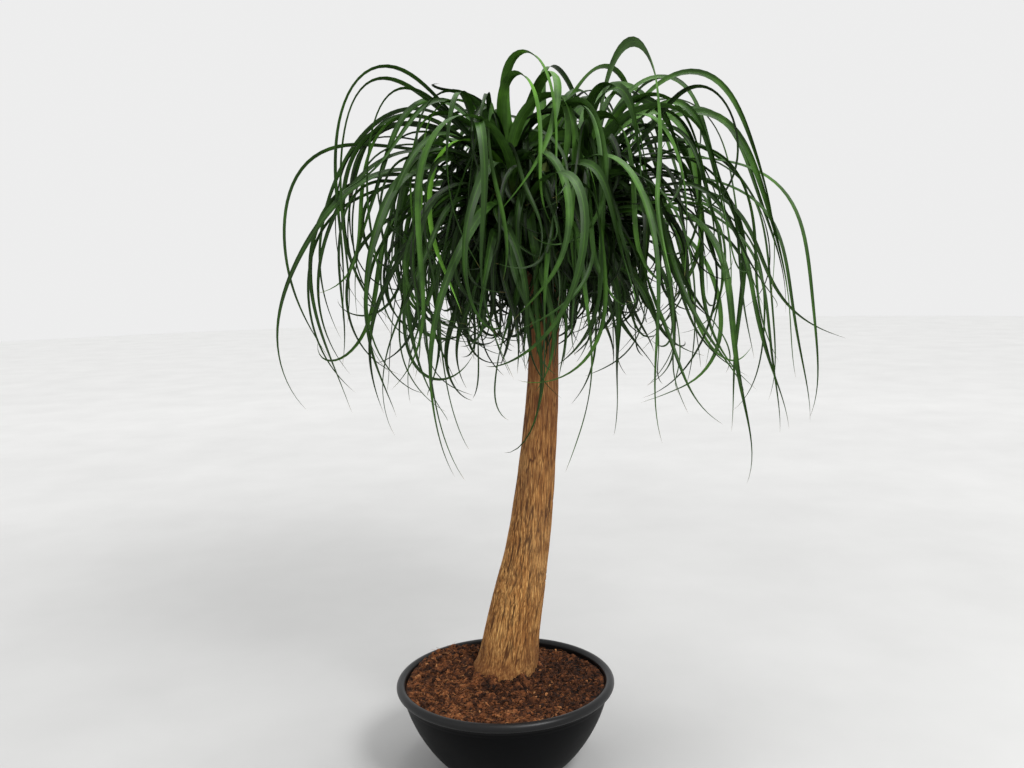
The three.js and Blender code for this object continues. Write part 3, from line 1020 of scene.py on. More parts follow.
@dataclass
class Compost:
    """The fibrous compost, with the chips and fibres that lie on it.

    A layer of clumps has so many to a metre, its place in the noise and its height.
    """

    pot: BowlPot
    trunk: PalmTrunk
    gap: float = 0.0004
    level: float = 0.159
    mound: float = 0.005
    mound_reach: float = 0.090
    bank: float = 0.012
    bank_reach: float = 0.024
    bank_foot: float = 0.0645
    heap: float = 0.013
    heap_middle: tuple[float, float] = (-0.105, 0.095)
    heap_reach: float = 0.085
    left_slope: float = 0.002
    right_slope: float = -0.004
    slope_reach: float = 0.180
    slope_ease: float = 0.160
    swell: float = 0.0013
    ripple: float = 0.0009
    hole_radius: float = 0.0575
    hole_bottom: float = 0.105
    around: int = 520
    hole_rows: int = 6
    surface_rows: int = 108
    wall_rows: int = 22
    wall_drop: float = 0.006
    wall_share: float = 1.12
    edge_calm: float = 18.0
    clumps: tuple[tuple[float, float, float], ...] = (
        (46.0, 0.3, 0.0115),
        (120.0, 1.7, 0.0065),
        (300.0, 4.1, 0.0030),
    )
    clump_wander: float = 0.006
    wanders_per_metre: float = 60.0
    hollow: float = 0.0050
    clump_top: float = 0.0060
    chips: int = 4600
    chip_sides: int = 5
    chip_size: Skewed = Skewed(0.0022, 0.0100, 2.4)
    chip_breadth: Skewed = Skewed(0.35, 0.4)
    chip_thickness: Skewed = Skewed(0.22, 0.3)
    chip_roughness: float = 0.5
    chip_tilt: float = 0.8
    chip_lift: float = 0.08
    chip_tone: Skewed = Skewed(0.12, 0.5, 1.2)
    pale_chips: float = 0.05
    pale_tone: float = 0.35
    fibres: int = 2500
    fibre_length: Skewed = Skewed(0.004, 0.013, 1.6)
    fibre_thickness: Skewed = Skewed(0.00022, 0.00035)
    fibre_bend: float = 2.6
    fibre_rise: float = 0.35
    fibre_taper: float = 0.7
    fibre_steps: int = 6
    fibre_room: float = 0.002
    fibre_lift: float = 0.0011
    fibre_tone: Skewed = Skewed(0.38, 0.54, 1.4)
    litter_reach: float = 0.181
    litter_clear: float = 0.0590
    seed: int = 77

    def smooth_height(self, x: float, y: float) -> float:
        """Gives the compost's level without its crumbs.

        Args:
            x: The place along X.
            y: The place along Y.

        Returns:
            The height.
        """
        from_trunk = math.hypot(x - self.trunk.profile[1][1], y - self.trunk.foot_y) - self.bank_foot
        rise = self.mound * smooth_step(1.0 - from_trunk / self.mound_reach)
        ripple = 0.75 + 0.35 * math.sin(x * 95.0 + y * 60.0)
        rise += self.bank * smooth_step(1.0 - from_trunk / self.bank_reach) * ripple
        from_heap = math.hypot(x - self.heap_middle[0], y - self.heap_middle[1])
        rise += self.heap * smooth_step(1.3 - from_heap / self.heap_reach)
        side = self.left_slope if x < 0 else self.right_slope
        slope = y / self.slope_reach * side * smooth_step(math.hypot(x, y) / self.slope_ease)
        lumps = self.swell * math.sin(x * 110.0 + 1.0) * math.cos(y * 130.0)
        lumps += self.ripple * math.sin(x * 290.0 + y * 230.0)
        return self.level + rise + slope + lumps

    def crumbs(self, x: float, y: float) -> float:
        """Gives the height of the clumps over the level: round tops with sharp hollows between them.

        Args:
            x: The place along X.
            y: The place along Y.

        Returns:
            The height, below 0 in a hollow.
        """
        pitch = self.wanders_per_metre
        shift = noise.noise_vector(Vector((x * pitch, y * pitch, 2.0))) * self.clump_wander
        x, y = x + shift.x, y + shift.y
        height = 0.0
        for pitch, layer, rise in self.clumps:
            height += rise * abs(noise.noise(Vector((x * pitch, y * pitch, layer))))
        return height - self.hollow

    def top(self, x: float, y: float) -> float:
        """Gives the height of the compost's surface with its crumbs."""
        return self.smooth_height(x, y) + self.crumbs(x, y)

    def corner(self, u: float, v: float) -> Vector:
        """Places a corner of the compost's body.

        Args:
            u: The share of the way round.
            v: The share of the way from the hole's bottom over the top and down the wall to the floor.

        Returns:
            The corner's place.
        """
        edge = self.pot.rim_radius - 2.0 * self.pot.roll_radius - self.gap
        centre_x, centre_y = self.trunk.profile[2][1], self.trunk.foot_y
        cos, sin = math.cos(FULL_TURN * u), math.sin(FULL_TURN * u)
        row = v * (self.hole_rows + self.surface_rows + self.wall_rows)
        if row < self.hole_rows:
            share = row / self.hole_rows
            radius = self.hole_radius * min(1.0, share * 2.0)
            x, y = centre_x + radius * cos, centre_y + radius * sin
            depth = self.smooth_height(x, y) - self.hole_bottom
            return Vector((x, y, self.hole_bottom + depth * max(0.0, share * 2.0 - 1.0)))
        if row <= self.hole_rows + self.surface_rows:
            share = (row - self.hole_rows) / self.surface_rows
            radius = self.hole_radius + (edge - self.hole_radius) * share
            x, y = centre_x * (1.0 - share) + radius * cos, centre_y * (1.0 - share) + radius * sin
            calm = smooth_step((1.0 - share) * self.edge_calm)
            return Vector((x, y, self.smooth_height(x, y) + self.crumbs(x, y) * calm))
        share = (row - self.hole_rows - self.surface_rows) / self.wall_rows
        high = self.level - self.wall_drop
        height = high - (high - self.pot.floor - self.gap) * min(1.0, share * self.wall_share)
        radius = min(edge, self.pot.inside_radius(height) - self.gap)
        if share * self.wall_share > 1.0:
            radius *= (1.0 - share) / (1.0 - 1.0 / self.wall_share)
        return Vector((radius * cos, radius * sin, height))

    def build(self, finish: bpy.types.Material) -> None:
        """Makes the compost's body.

        Args:
            finish: Its material.
        """
        rows = self.hole_rows + self.surface_rows + self.wall_rows
        soil = rolled_grid("compost", self.around, rows, self.corner)
        crumbs = np.array([self.crumbs(corner.co.x, corner.co.y) for corner in soil.data.vertices])
        # The crumbs' height is kept so that the material paints shade into the hollows and light onto the
        # clump tops.
        store_numbers(soil, "rise", (crumbs + self.hollow) / (self.hollow + self.clump_top))
        shade(soil, 60.0)
        add_piece(soil, Slot.SOIL, finish, ("soil",))

    def build_litter(self, finish: bpy.types.Material) -> None:
        """Makes the loose chips and fibres on the compost.

        Args:
            finish: Their material.
        """
        draws = np.random.default_rng(self.seed)
        heap = Heap()
        self.strew_chips(draws, heap)
        self.strew_fibres(draws, heap)
        litter = heap.piece("compost_litter")
        close_and_face_out(litter, 1e-7)
        shade(litter, 30.0)
        add_piece(litter, Slot.SOIL, finish)

    def strew_chips(self, draws: np.random.Generator, heap: Heap) -> None:
        """Strews the chips.

        Args:
            draws: The random draws.
            heap: What the chips are added to.
        """
        shape, faces = self.chip_shape()
        for _ in range(self.chips):
            size = self.chip_size.draw(draws)
            stretch = np.array([1.0, self.chip_breadth.draw(draws), self.chip_thickness.draw(draws)])
            rough = 1.0 + self.chip_roughness * (draws.random(shape.shape) - 0.5)
            tilts = [draws.uniform(-self.chip_tilt, self.chip_tilt) for _ in range(2)]
            points = self.turned(shape * rough * stretch * size, (*tilts, draws.uniform(0.0, 6.3)))
            x, y = self.spot(draws, size)
            points += np.array([x, y, self.top(x, y) + size * self.chip_lift])
            pale = self.pale_tone if draws.random() < self.pale_chips else 0.0
            heap.add(points, faces, self.chip_tone.draw(draws) + pale)

    def strew_fibres(self, draws: np.random.Generator, heap: Heap) -> None:
        """Strews the fibres.

        Args:
            draws: The random draws.
            heap: What the fibres are added to.
        """
        for _ in range(self.fibres):
            points, faces = self.fibre_shape(draws)
            x, y = self.spot(draws, self.fibre_room)
            points += np.array([x, y, self.top(x, y) + self.fibre_lift])
            heap.add(points, faces, self.fibre_tone.draw(draws))

    def spot(self, draws: np.random.Generator, size: float) -> tuple[float, float]:
        """Draws a free place on the compost, inside the pot and clear of the trunk.

        Args:
            draws: The random draws.
            size: The size of what lies there.

        Returns:
            The place along X and Y.
        """
        reach = self.litter_reach - size
        while True:
            x, y = draws.uniform(-reach, reach), draws.uniform(-reach, reach)
            from_trunk = math.hypot(x - self.trunk.profile[2][1], y - self.trunk.foot_y)
            if math.hypot(x, y) < reach and from_trunk > self.litter_clear + size * 0.3:
                return x, y

    def chip_shape(self) -> tuple[np.ndarray, list[Face]]:
        """Gives one rough chip: a short prism, narrower at its top.

        Returns:
            Its corners and its faces.
        """
        sides = self.chip_sides
        ring = [(math.cos(a) * 0.5, math.sin(a) * 0.5) for a in np.linspace(0.0, FULL_TURN, sides + 1)[:-1]]
        low = [(x, y, -0.4) for x, y in ring]
        high = [(x * 0.8, y * 0.85, 0.4) for x, y in ring]
        faces: list[Face] = [tuple(reversed(range(sides))), tuple(range(sides, 2 * sides))]
        for k in range(sides):
            after = (k + 1) % sides
            faces.append((k, after, sides + after, sides + k))
        return np.array(low + high), faces

    def fibre_shape(self, draws: np.random.Generator) -> tuple[np.ndarray, list[Face]]:
        """Gives one curled fibre as a thin three-sided strand.

        Args:
            draws: The random draws.

        Returns:
            Its corners and its faces.
        """
        length = self.fibre_length.draw(draws)
        heading = draws.uniform(0.0, FULL_TURN)
        bend = draws.uniform(-self.fibre_bend, self.fibre_bend)
        lift = draws.uniform(0.0, self.fibre_rise)
        thick = self.fibre_thickness.draw(draws)
        steps = self.fibre_steps
        points = []
        where = np.zeros(3)
        for k in range(steps + 1):
            share = k / steps
            angle = heading + bend * share
            ahead = np.array([math.cos(angle), math.sin(angle), lift * math.cos(share * math.pi)])
            side = np.array([-math.sin(angle), math.cos(angle), 0.0])
            girth = thick * (1.0 - self.fibre_taper * share)
            for turn in (0.0, 2.1, 4.2):
                rise = np.array([0.0, 0.0, math.sin(turn) * girth])
                points.append(where + side * math.cos(turn) * girth + rise)
            where = where + ahead * length / steps
        faces: list[Face] = [(0, 1, 2), (steps * 3 + 2, steps * 3 + 1, steps * 3)]
        for k in range(steps):
            for j in range(3):
                after = (j + 1) % 3
                faces.append((k * 3 + j, (k + 1) * 3 + j, (k + 1) * 3 + after, k * 3 + after))
        return np.array(points), faces

    @staticmethod
    def turned(points: np.ndarray, angles: tuple[float, float, float]) -> np.ndarray:
        """Turns points about X, then Y, then Z.

        Args:
            points: The points, changed in place.
            angles: The three angles in radians.

        Returns:
            The turned points.
        """
        for first, second, angle in zip((1, 2, 0), (2, 0, 1), angles):
            cos, sin = math.cos(angle), math.sin(angle)
            a, b = points[:, first].copy(), points[:, second].copy()
            points[:, first] = a * cos - b * sin
            points[:, second] = a * sin + b * cos
        return points


@dataclass
class Draws:
    """Random draws that repeat for one seed."""

    state: int
    factor: int = 16807
    limit: int = 2147483647

    def between(self, low: float, high: float) -> float:
        """Draws a number between two limits."""
        self.state = self.state * self.factor % self.limit
        return low + (high - low) * (self.state / self.limit)


@dataclass(frozen=True)
class Leaf:
    """One strap leaf.

    It starts at a height, which is a share of its growing point's. Its turn is the way that it points, its
    launch the angle that it rises at, and its bend the share of its length where it droops most. Turn,
    launch and twist are in degrees; droop, curl and sway in radians over the leaf. A crossing leaf may leave
    its head's share of the circle.
    """

    height: float
    turn: float
    launch: float
    length: float
    droop: float
    bend: float
    curl: float
    sway: float
    twist: float
    width: float
    tone: float
    crossing: bool = False


@dataclass(frozen=True)
class Head:
    """One head of leaves, and the sector of the circle that it keeps to.

    Its foot and its tip are measured from the fork. It has so many grown and slender leaves by a rule, and
    chosen ones: those that stand out, those that arch out to its side and those that hang before the trunk.
    """

    name: str
    foot: tuple[float, float]
    tip: tuple[float, float]
    top: float
    sector: tuple[float, float]
    side: float
    grown: int
    slender: int
    seed: int
    chosen: tuple[Leaf, ...]
    arching: tuple[Leaf, ...] = ()
    hanging: tuple[Leaf, ...] = ()

    @property
    def middle(self) -> float:
        """The middle of the sector."""
        return (self.sector[0] + self.sector[1]) / 2.0

    @property
    def half(self) -> float:
        """Half the sector's angle."""
        return (self.sector[1] - self.sector[0]) / 2.0


LEFT_HEAD = Head(
    name="left",
    foot=(-0.037, -0.020),
    tip=(-0.060, -0.050),
    top=1.100,
    sector=(150.0, 298.0),
    side=188.0,
    grown=54,
    slender=32,
    seed=4021,
    chosen=(
        Leaf(0.92, 184, 50, 0.720, 5.6, 0.46, 0.3, 0.3, 150, 0.016, 0.35),
        Leaf(0.99, 176, 40, 0.640, 5.0, 0.42, 0.2, -0.2, 150, 0.016, 0.3),
        Leaf(0.97, 285, 84, 0.500, 7.0, 0.42, 0.0, 0.2, 20, 0.021, 0.72),
        Leaf(0.8, 286, 36, 0.460, 4.6, 0.36, 0.2, -0.5, 60, 0.020, 0.5),
        Leaf(0.85, 240, 42, 0.460, 4.8, 0.36, 0.2, 0.3, -60, 0.020, 0.95),
        Leaf(0.5, 230, 32, 0.680, 4.2, 0.36, 0.6, 1.2, 60, 0.017, 0.35),
        Leaf(0.35, 222, 16, 0.540, 3.6, 0.34, 0.8, 1.4, 70, 0.015, 0.3),
        Leaf(0.3, 262, 18, 0.320, 4.2, 0.30, 0.4, 0.4, 60, 0.017, 0.3),
        Leaf(0.18, 288, 12, 0.280, 4.0, 0.30, 0.5, -0.3, -80, 0.016, 0.2),
        Leaf(0.08, 298, 5, 0.250, 3.4, 0.30, 0.4, 0.3, 50, 0.016, 0.2),
        Leaf(0.24, 297, 20, 0.290, 4.4, 0.30, 0.3, 0.0, 40, 0.017, 0.2),
        Leaf(0.4, 278, 22, 0.360, 4.4, 0.32, 0.3, 0.2, -50, 0.018, 0.35),
        Leaf(0.7, 166, 24, 0.720, 4.0, 0.42, 1.8, 0.8, 160, 0.015, 0.3),
        Leaf(0.62, 192, 18, 0.700, 3.6, 0.50, 2.6, -0.9, -150, 0.015, 0.3),
        Leaf(0.97, 205, 62, 0.440, 6.0, 0.44, 0.4, 0.4, 90, 0.019, 0.6),
        Leaf(0.93, 228, 66, 0.420, 6.0, 0.46, 0.3, -0.6, -90, 0.019, 0.9),
        Leaf(1, 158, 60, 0.460, 5.6, 0.42, 0.6, 0.6, 110, 0.018, 0.5),
        Leaf(0.26, 284, 24, 0.300, 4.6, 0.30, 0.2, 0.2, 30, 0.018, 0.15),
        Leaf(0.12, 276, 8, 0.270, 3.8, 0.28, 0.3, -0.2, -40, 0.017, 0.15),
        Leaf(0.99, 246, 76, 0.460, 6.4, 0.44, 0.3, 0.5, 80, 0.019, 0.7),
        Leaf(0.7, 186, 12, 0.560, 3.8, 0.40, 1.2, 0.6, 120, 0.015, 0.25),
        Leaf(0.55, 198, 10, 0.520, 3.6, 0.42, 1.6, -0.8, -120, 0.015, 0.2),
        Leaf(0.78, 206, 28, 0.600, 4.4, 0.40, 1.0, 0.8, 160, 0.015, 0.35),
    ),
    arching=(
        Leaf(0.90, 184, 30, 0.720, 4.8, 0.53, 0.6, 0.0, 120, 0.0135, 0.35),
        Leaf(0.84, 178, 26, 0.640, 4.8, 0.52, 0.8, 0.0, -120, 0.0125, 0.30),
        Leaf(0.78, 192, 20, 0.660, 4.6, 0.54, 1.0, 0.0, 90, 0.0130, 0.25),
        Leaf(0.70, 172, 14, 0.600, 4.4, 0.55, 1.4, -0.3, 100, 0.0120, 0.20),
        Leaf(0.60, 186, 10, 0.580, 4.2, 0.55, 0.6, 0.4, 160, 0.0120, 0.20),
        Leaf(0.94, 170, 40, 0.620, 5.2, 0.48, 0.4, -0.4, 60, 0.0130, 0.40),
        Leaf(0.96, 174, 45, 0.740, 5.0, 0.48, 0.3, 0.0, 200, 0.0140, 0.40),
        Leaf(0.98, 180, 44, 0.740, 4.9, 0.50, 0.3, 0.0, 60, 0.0130, 0.35),
        Leaf(0.88, 196, 34, 0.560, 5.0, 0.48, 0.6, 0.4, -60, 0.0130, 0.30),
        Leaf(0.97, 165, 56, 0.600, 5.4, 0.42, 0.4, 0.0, -140, 0.0135, 0.45),
        Leaf(0.95, 186, 46, 0.660, 5.4, 0.44, 0.4, 0.0, 170, 0.0130, 0.35),
    ),
    hanging=(
        Leaf(0.30, 292, 14, 0.300, 4.2, 0.30, 0.3, 0.2, 50, 0.017, 0.25, True),
        Leaf(0.18, 302, 8, 0.280, 3.9, 0.30, 0.4, -0.2, -60, 0.016, 0.20, True),
        Leaf(0.12, 287, 2, 0.260, 3.6, 0.28, 0.4, 0.3, 40, 0.016, 0.15, True),
        Leaf(0.36, 306, 20, 0.320, 4.4, 0.30, 0.2, 0.0, -40, 0.017, 0.30, True),
        Leaf(0.60, 294, 12, 0.400, 4.6, 0.28, 0.0, -0.3, -20, 0.019, 0.50, True),
    ),
)
RIGHT_HEAD = Head(
    name="right",
    foot=(0.037, -0.020),
    tip=(0.083, -0.035),
    top=1.100,
    sector=(-62.0, 38.0),
    side=2.0,
    grown=38,
    slender=18,
    seed=7757,
    chosen=(
        Leaf(0.85, 2, 38, 0.730, 5.0, 0.46, 0.4, -0.4, 200, 0.016, 0.5),
        Leaf(0.6, -8, 16, 0.630, 4.2, 0.46, 1.0, 0.3, 140, 0.015, 0.4),
        Leaf(1, -8, 80, 0.700, 6.6, 0.43, 0.0, 0.1, 205, 0.021, 0.6),
        Leaf(0.95, 18, 58, 0.700, 5.4, 0.44, 0.2, 0.2, 100, 0.017, 0.5),
        Leaf(0.95, -48, 62, 0.540, 5.0, 0.36, 0.2, 0.0, 40, 0.020, 0.6),
        Leaf(0.92, -12, 60, 0.480, 5.6, 0.44, 0.4, -0.6, -90, 0.019, 0.6),
        Leaf(0.98, 30, 74, 0.560, 5.8, 0.40, 0.3, 0.5, 90, 0.019, 0.5),
        Leaf(0.15, -60, 10, 0.280, 4.0, 0.30, 0.4, -0.6, 60, 0.016, 0.2),
        Leaf(0.7, 6, 24, 0.620, 4.0, 0.48, 1.0, -0.6, -150, 0.014, 0.45),
        Leaf(0.99, 8, 78, 0.600, 6.0, 0.38, 0.2, -0.3, 70, 0.019, 0.55),
    ),
    arching=(
        Leaf(0.86, -8, 24, 0.760, 4.7, 0.54, 1.2, 0.0, 120, 0.0140, 0.45),
        Leaf(0.80, -8, 18, 0.700, 4.8, 0.55, 0.6, 0.0, 120, 0.0130, 0.35),
        Leaf(0.66, -14, 8, 0.640, 4.2, 0.56, 1.1, 0.2, 110, 0.0130, 0.30),
        Leaf(0.70, 4, 14, 0.660, 4.4, 0.56, 1.8, -0.3, 90, 0.0130, 0.30),
        Leaf(0.88, 10, 30, 0.720, 5.2, 0.50, 0.4, -0.4, 100, 0.0135, 0.40),
        Leaf(0.50, -2, 8, 0.580, 3.8, 0.54, 1.2, 0.3, 130, 0.0120, 0.25),
        Leaf(0.97, 10, 54, 0.680, 5.2, 0.48, 0.8, 0.0, 180, 0.0140, 0.50),
        Leaf(0.99, 30, 66, 0.600, 5.6, 0.44, 0.4, 0.0, 120, 0.0130, 0.40),
        Leaf(0.92, -20, 46, 0.600, 5.2, 0.44, 0.6, 0.2, 200, 0.0135, 0.45),
        Leaf(0.90, 22, 40, 0.640, 5.2, 0.50, 0.6, 0.2, 160, 0.0130, 0.35),
        Leaf(0.78, 0, 30, 0.560, 4.8, 0.50, 0.8, -0.2, -100, 0.0130, 0.30),
    ),
    hanging=(
        Leaf(0.32, 240, 16, 0.310, 4.3, 0.30, 0.3, 0.3, 50, 0.017, 0.25, True),
        Leaf(0.20, 250, 8, 0.290, 4.0, 0.30, 0.4, -0.3, -50, 0.016, 0.20, True),
        Leaf(0.12, 236, 4, 0.270, 3.7, 0.28, 0.4, 0.2, 60, 0.016, 0.15, True),
        Leaf(0.50, 250, 8, 0.560, 4.4, 0.30, 0.0, -0.8, 30, 0.014, 0.40, True),
    ),
)
BACK_HEAD = Head(
    name="back",
    foot=(0.0, 0.042),
    tip=(0.0, 0.075),
    top=1.120,
    sector=(38.0, 150.0),
    side=95.0,
    grown=37,
    slender=20,
    seed=9109,
    chosen=(
        Leaf(1, 50, 79, 0.640, 5.4, 0.40, 0.0, 0.0, 60, 0.019, 0.5),
        Leaf(0.97, 150, 52, 0.600, 5.0, 0.42, 0.2, 0.0, 60, 0.018, 0.6),
        Leaf(0.97, 75, 66, 0.520, 5.4, 0.40, 0.0, 0.0, 60, 0.018, 0.5),
    ),
)

BLADE_SECTION = (
    (-1.0, 0.0),
    (-0.55, 0.0),
    (0.0, 0.0),
    (0.55, 0.0),
    (1.0, 0.0),
    (0.5, 1.0),
    (0.0, 1.3),
    (-0.5, 1.0),
)


def by_age(values: tuple[float, ...], age: float) -> float:
    """Reads a value between the youngest leaf's, first, and the oldest leaf's, last."""
    return float(np.interp(age, np.linspace(0.0, 1.0, len(values)), values))


@dataclass
class Crown:
    """The three heads of leaves.

    The tables by age run from the youngest leaf to the oldest. The core's girth gives its radius at shares
    of its height.
    """

    trunk: PalmTrunk
    heads: tuple[Head, ...] = (LEFT_HEAD, RIGHT_HEAD, BACK_HEAD)
    launch_by_age: tuple[float, ...] = (76.0, 54.0, 26.0, 8.0, -6.0)
    length_by_age: tuple[float, ...] = (0.46, 0.60, 0.66, 0.44, 0.26)
    inner_length_by_age: tuple[float, ...] = (0.29, 0.33, 0.30, 0.25, 0.20)
    droop_by_age: tuple[float, ...] = (6.0, 5.0, 4.3, 3.6, 3.0)
    steepest: float = 76.0
    inner_steepest: float = 80.0
    inner_leaves: int = 130
    usual_half: float = 60.0
    steps: int = 48
    full_row_steps: int = 1
    inner_row_steps: int = 2
    root_radius: float = 0.015
    root_low: float = 0.08
    root_span: float = 0.87
    even_droop: float = 0.15
    peak_droop: float = 1.75
    peak_reach: float = 0.215
    even_sway: float = 0.6
    end_sway: float = 14.0
    end_from: float = 0.6
    end_curl: float = 3.4
    wave: float = 2.2
    wave_up: float = 0.7
    wave_pitches: tuple[float, float] = (8.0, 11.0)
    clasp: float = 0.45
    clasp_reach: float = 0.035
    waist: float = 0.82
    waist_opening: float = 1.4
    taper_powers: tuple[float, float] = (1.35, 0.9)
    keel: float = 0.0024
    keel_least: float = 0.0008
    keel_share: float = 0.95
    channel_share: float = 0.35
    thickness: float = 0.0005
    sector_clearance: float = 0.014
    sector_soft_zone: float = 0.045
    trunk_clearance: float = 0.045
    trunk_soft_zone: float = 0.075
    trunk_zone_rise: float = 0.025
    core_girth: tuple[tuple[float, float], ...] = (
        (0.0, 0.019),
        (0.15, 0.021),
        (0.45, 0.019),
        (0.75, 0.013),
        (0.93, 0.007),
        (1.0, 0.0),
    )
    core_foot: float = 0.04
    core_relief: float = 0.05
    core_sides: int = 30
    core_rows: int = 50
    # Painted shade: the growing point takes a near-shadow tone for the shade inside the crown.
    core_shade_tone: float = 0.05

    def core_point(self, head: Head, share: float) -> Vector:
        """Gives the middle of a head's growing point.

        Args:
            head: The head.
            share: The share of the growing point's height.

        Returns:
            The point.
        """
        fork = self.trunk.fork
        return Vector(
            (
                fork[0] + head.foot[0] + (head.tip[0] - head.foot[0]) * share,
                fork[1] + head.foot[1] + (head.tip[1] - head.foot[1]) * share,
                self.trunk.seat + (head.top - self.trunk.seat) * share,
            )
        )

    @staticmethod
    def turn_aside(direction: Vector, nx: float, ny: float, share: float) -> None:
        """Takes away a share of a direction's level motion against (nx, ny) and keeps its level speed.

        Args:
            direction: The direction, changed in place.
            nx: The wall's inward normal, along X.
            ny: The wall's inward normal, along Y.
            share: How much of the motion goes, from 0 to 1.
        """
        against = -(direction.x * nx + direction.y * ny)
        if against <= 0.0:
            return
        level = math.hypot(direction.x, direction.y)
        direction.x += nx * against * share
        direction.y += ny * against * share
        stretch = min(3.0, level / max(1e-6, math.hypot(direction.x, direction.y)))
        direction.x *= stretch
        direction.y *= stretch
        direction.normalize()

    def keep_in_sector(self, point: Vector, direction: Vector, head: Head) -> None:
        """Turns a leaf's direction so that it never leaves its head's sector.

        Args:
            point: Where the leaf has got to.
            direction: Where it heads, changed in place.
            head: Its head.
        """
        fork = self.trunk.fork
        start, end = (math.radians(angle) for angle in head.sector)
        for nx, ny in ((-math.sin(start), math.cos(start)), (math.sin(end), -math.cos(end))):
            inside = (point.x - fork[0]) * nx + (point.y - fork[1]) * ny
            share = (self.sector_soft_zone - inside) / (self.sector_soft_zone - self.sector_clearance)
            self.turn_aside(direction, nx, ny, smooth_step(share))

    def keep_off_trunk(self, point: Vector, direction: Vector) -> None:
        """Turns a leaf's direction so that it never meets the trunk.

        Args:
            point: Where the leaf has got to.
            direction: Where it heads, changed in place.
        """
        if point.z < self.trunk.seat + self.trunk_zone_rise:
            x, y, _ = self.trunk.at(min(point.z, self.trunk.fork[2]))
            dx, dy = point.x - x, point.y - y
            distance = math.hypot(dx, dy)
            share = (self.trunk_soft_zone - distance) / (self.trunk_soft_zone - self.trunk_clearance)
            self.turn_aside(direction, dx / distance, dy / distance, clamp(share))

    def path(self, leaf: Leaf, head: Head) -> tuple[np.ndarray, np.ndarray, np.ndarray]:
        """Follows one leaf's middle line from root to tip.

        Args:
            leaf: The leaf.
            head: The head that it grows from.

        Returns:
            Its points, its directions and its width directions at every step.
        """
        turn, launch = math.radians(leaf.turn), math.radians(leaf.launch)
        level = math.cos(launch)
        along = Vector((level * math.cos(turn), level * math.sin(turn), math.sin(launch)))
        across = Vector((-math.sin(turn), math.cos(turn), 0.0))
        outward = Vector((math.cos(turn), math.sin(turn), 0.0))
        point = self.core_point(head, self.root_low + self.root_span * leaf.height)
        point += outward * (self.root_radius * min(1.0, 0.2 + 2.0 * (1.0 - leaf.height)))
        phase = math.radians(leaf.twist + leaf.turn)
        side_pitch, up_pitch = self.wave_pitches
        points, alongs, acrosses = [], [], []
        step = leaf.length / self.steps
        for i in range(self.steps + 1):
            points.append(tuple(point))
            alongs.append(tuple(along))
            acrosses.append(tuple(across))
            u = min(1.0, (i + 0.5) / self.steps)
            ahead = along.copy()
            peak = math.exp(-(((u - leaf.bend) / self.peak_reach) ** 2))
            ahead.z -= leaf.droop * (self.even_droop + self.peak_droop * peak) / self.steps
            end = max(0.0, u - self.end_from)
            ahead += across * (leaf.sway * (self.even_sway + self.end_sway * end) / self.steps)
            ahead -= outward * (leaf.curl * self.end_curl * u**3 / self.steps)
            ahead += across * (self.wave * math.sin(side_pitch * u + phase) / self.steps)
            ahead.z += self.wave_up * self.wave * math.sin(up_pitch * u + 2.0 * phase) / self.steps
            ahead.normalize()
            if not leaf.crossing:
                self.keep_in_sector(point, ahead, head)
            self.keep_off_trunk(point, ahead)
            point = point + (along + ahead) * (step * 0.5)
            across = (across - ahead * across.dot(ahead)).normalized()
            angle = math.radians(leaf.twist) / self.steps * (0.5 + u)
            across = across * math.cos(angle) + ahead.cross(across) * math.sin(angle)
            along = ahead
        return np.array(points), np.array(alongs), np.array(acrosses)

    def grown(self, head: Head) -> list[Leaf]:
        """Lists a head's leaves: the youngest stand up at its tip, the oldest hang from its foot.

        Args:
            head: The head.

        Returns:
            Its leaves, with the chosen ones that stand out last.
        """
        draws = Draws(head.seed)
        leaves = []
        for i in range(head.grown):
            age = (i + 0.5) / head.grown
            spiral = i * GOLDEN_ANGLE + draws.between(-12.0, 12.0) - head.middle
            off = (spiral + 180.0) % 360.0 - 180.0
            vigour = draws.between(0.0, 1.0)
            leaf = Leaf(
                height=1.0 - age,
                turn=head.middle + off * (0.85 - 0.35 * age) * math.sqrt(head.half / self.usual_half),
                launch=min(self.steepest, by_age(self.launch_by_age, age) + draws.between(-14.0, 14.0)),
                length=by_age(self.length_by_age, age) * (0.74 + 0.44 * vigour),
                droop=by_age(self.droop_by_age, age) * draws.between(0.82, 1.2),
                bend=draws.between(0.32, 0.52),
                curl=draws.between(-0.5, 3.2),
                sway=draws.between(-2.0, 2.0),
                twist=draws.between(-260.0, 260.0),
                width=draws.between(0.0135, 0.0195) + 0.004 * (1.0 - age) ** 2,
                # Younger leaves at the top are lighter and older, lower ones darker: partly their own colour,
                # partly painted light above and painted shade below.
                tone=0.15 + 0.5 * (1.0 - age) * vigour + 0.2 * (i % 5) / 4.0,
            )
            leaves.append(leaf)
        return leaves + list(head.chosen)

    def slender(self, head: Head) -> list[Leaf]:
        """Lists the slender leaves that arch out to a head's side between the grown ones.

        Args:
            head: The head.

        Returns:
            The leaves, with the chosen ones first.
        """
        draws = Draws(head.seed * 5 + 3)
        leaves = list(head.arching)
        for i in range(head.slender):
            age = (i + 0.5) / head.slender
            off = (i * GOLDEN_ANGLE + 81.0) % 360.0 - 180.0
            leaf = Leaf(
                height=0.97 - 0.72 * age,
                turn=head.side + off * 0.24,
                launch=52.0 - 48.0 * age + draws.between(-10.0, 12.0),
                length=draws.between(0.42, 0.64) * (1.0 - 0.12 * age),
                droop=draws.between(3.2, 5.0),
                bend=draws.between(0.36, 0.56),
                curl=draws.between(0.4, 4.2),
                sway=draws.between(-1.4, 1.4),
                twist=draws.between(-320.0, 320.0),
                width=draws.between(0.0090, 0.0135),
                tone=draws.between(0.02, 0.48),
            )
            leaves.append(leaf)
        return leaves

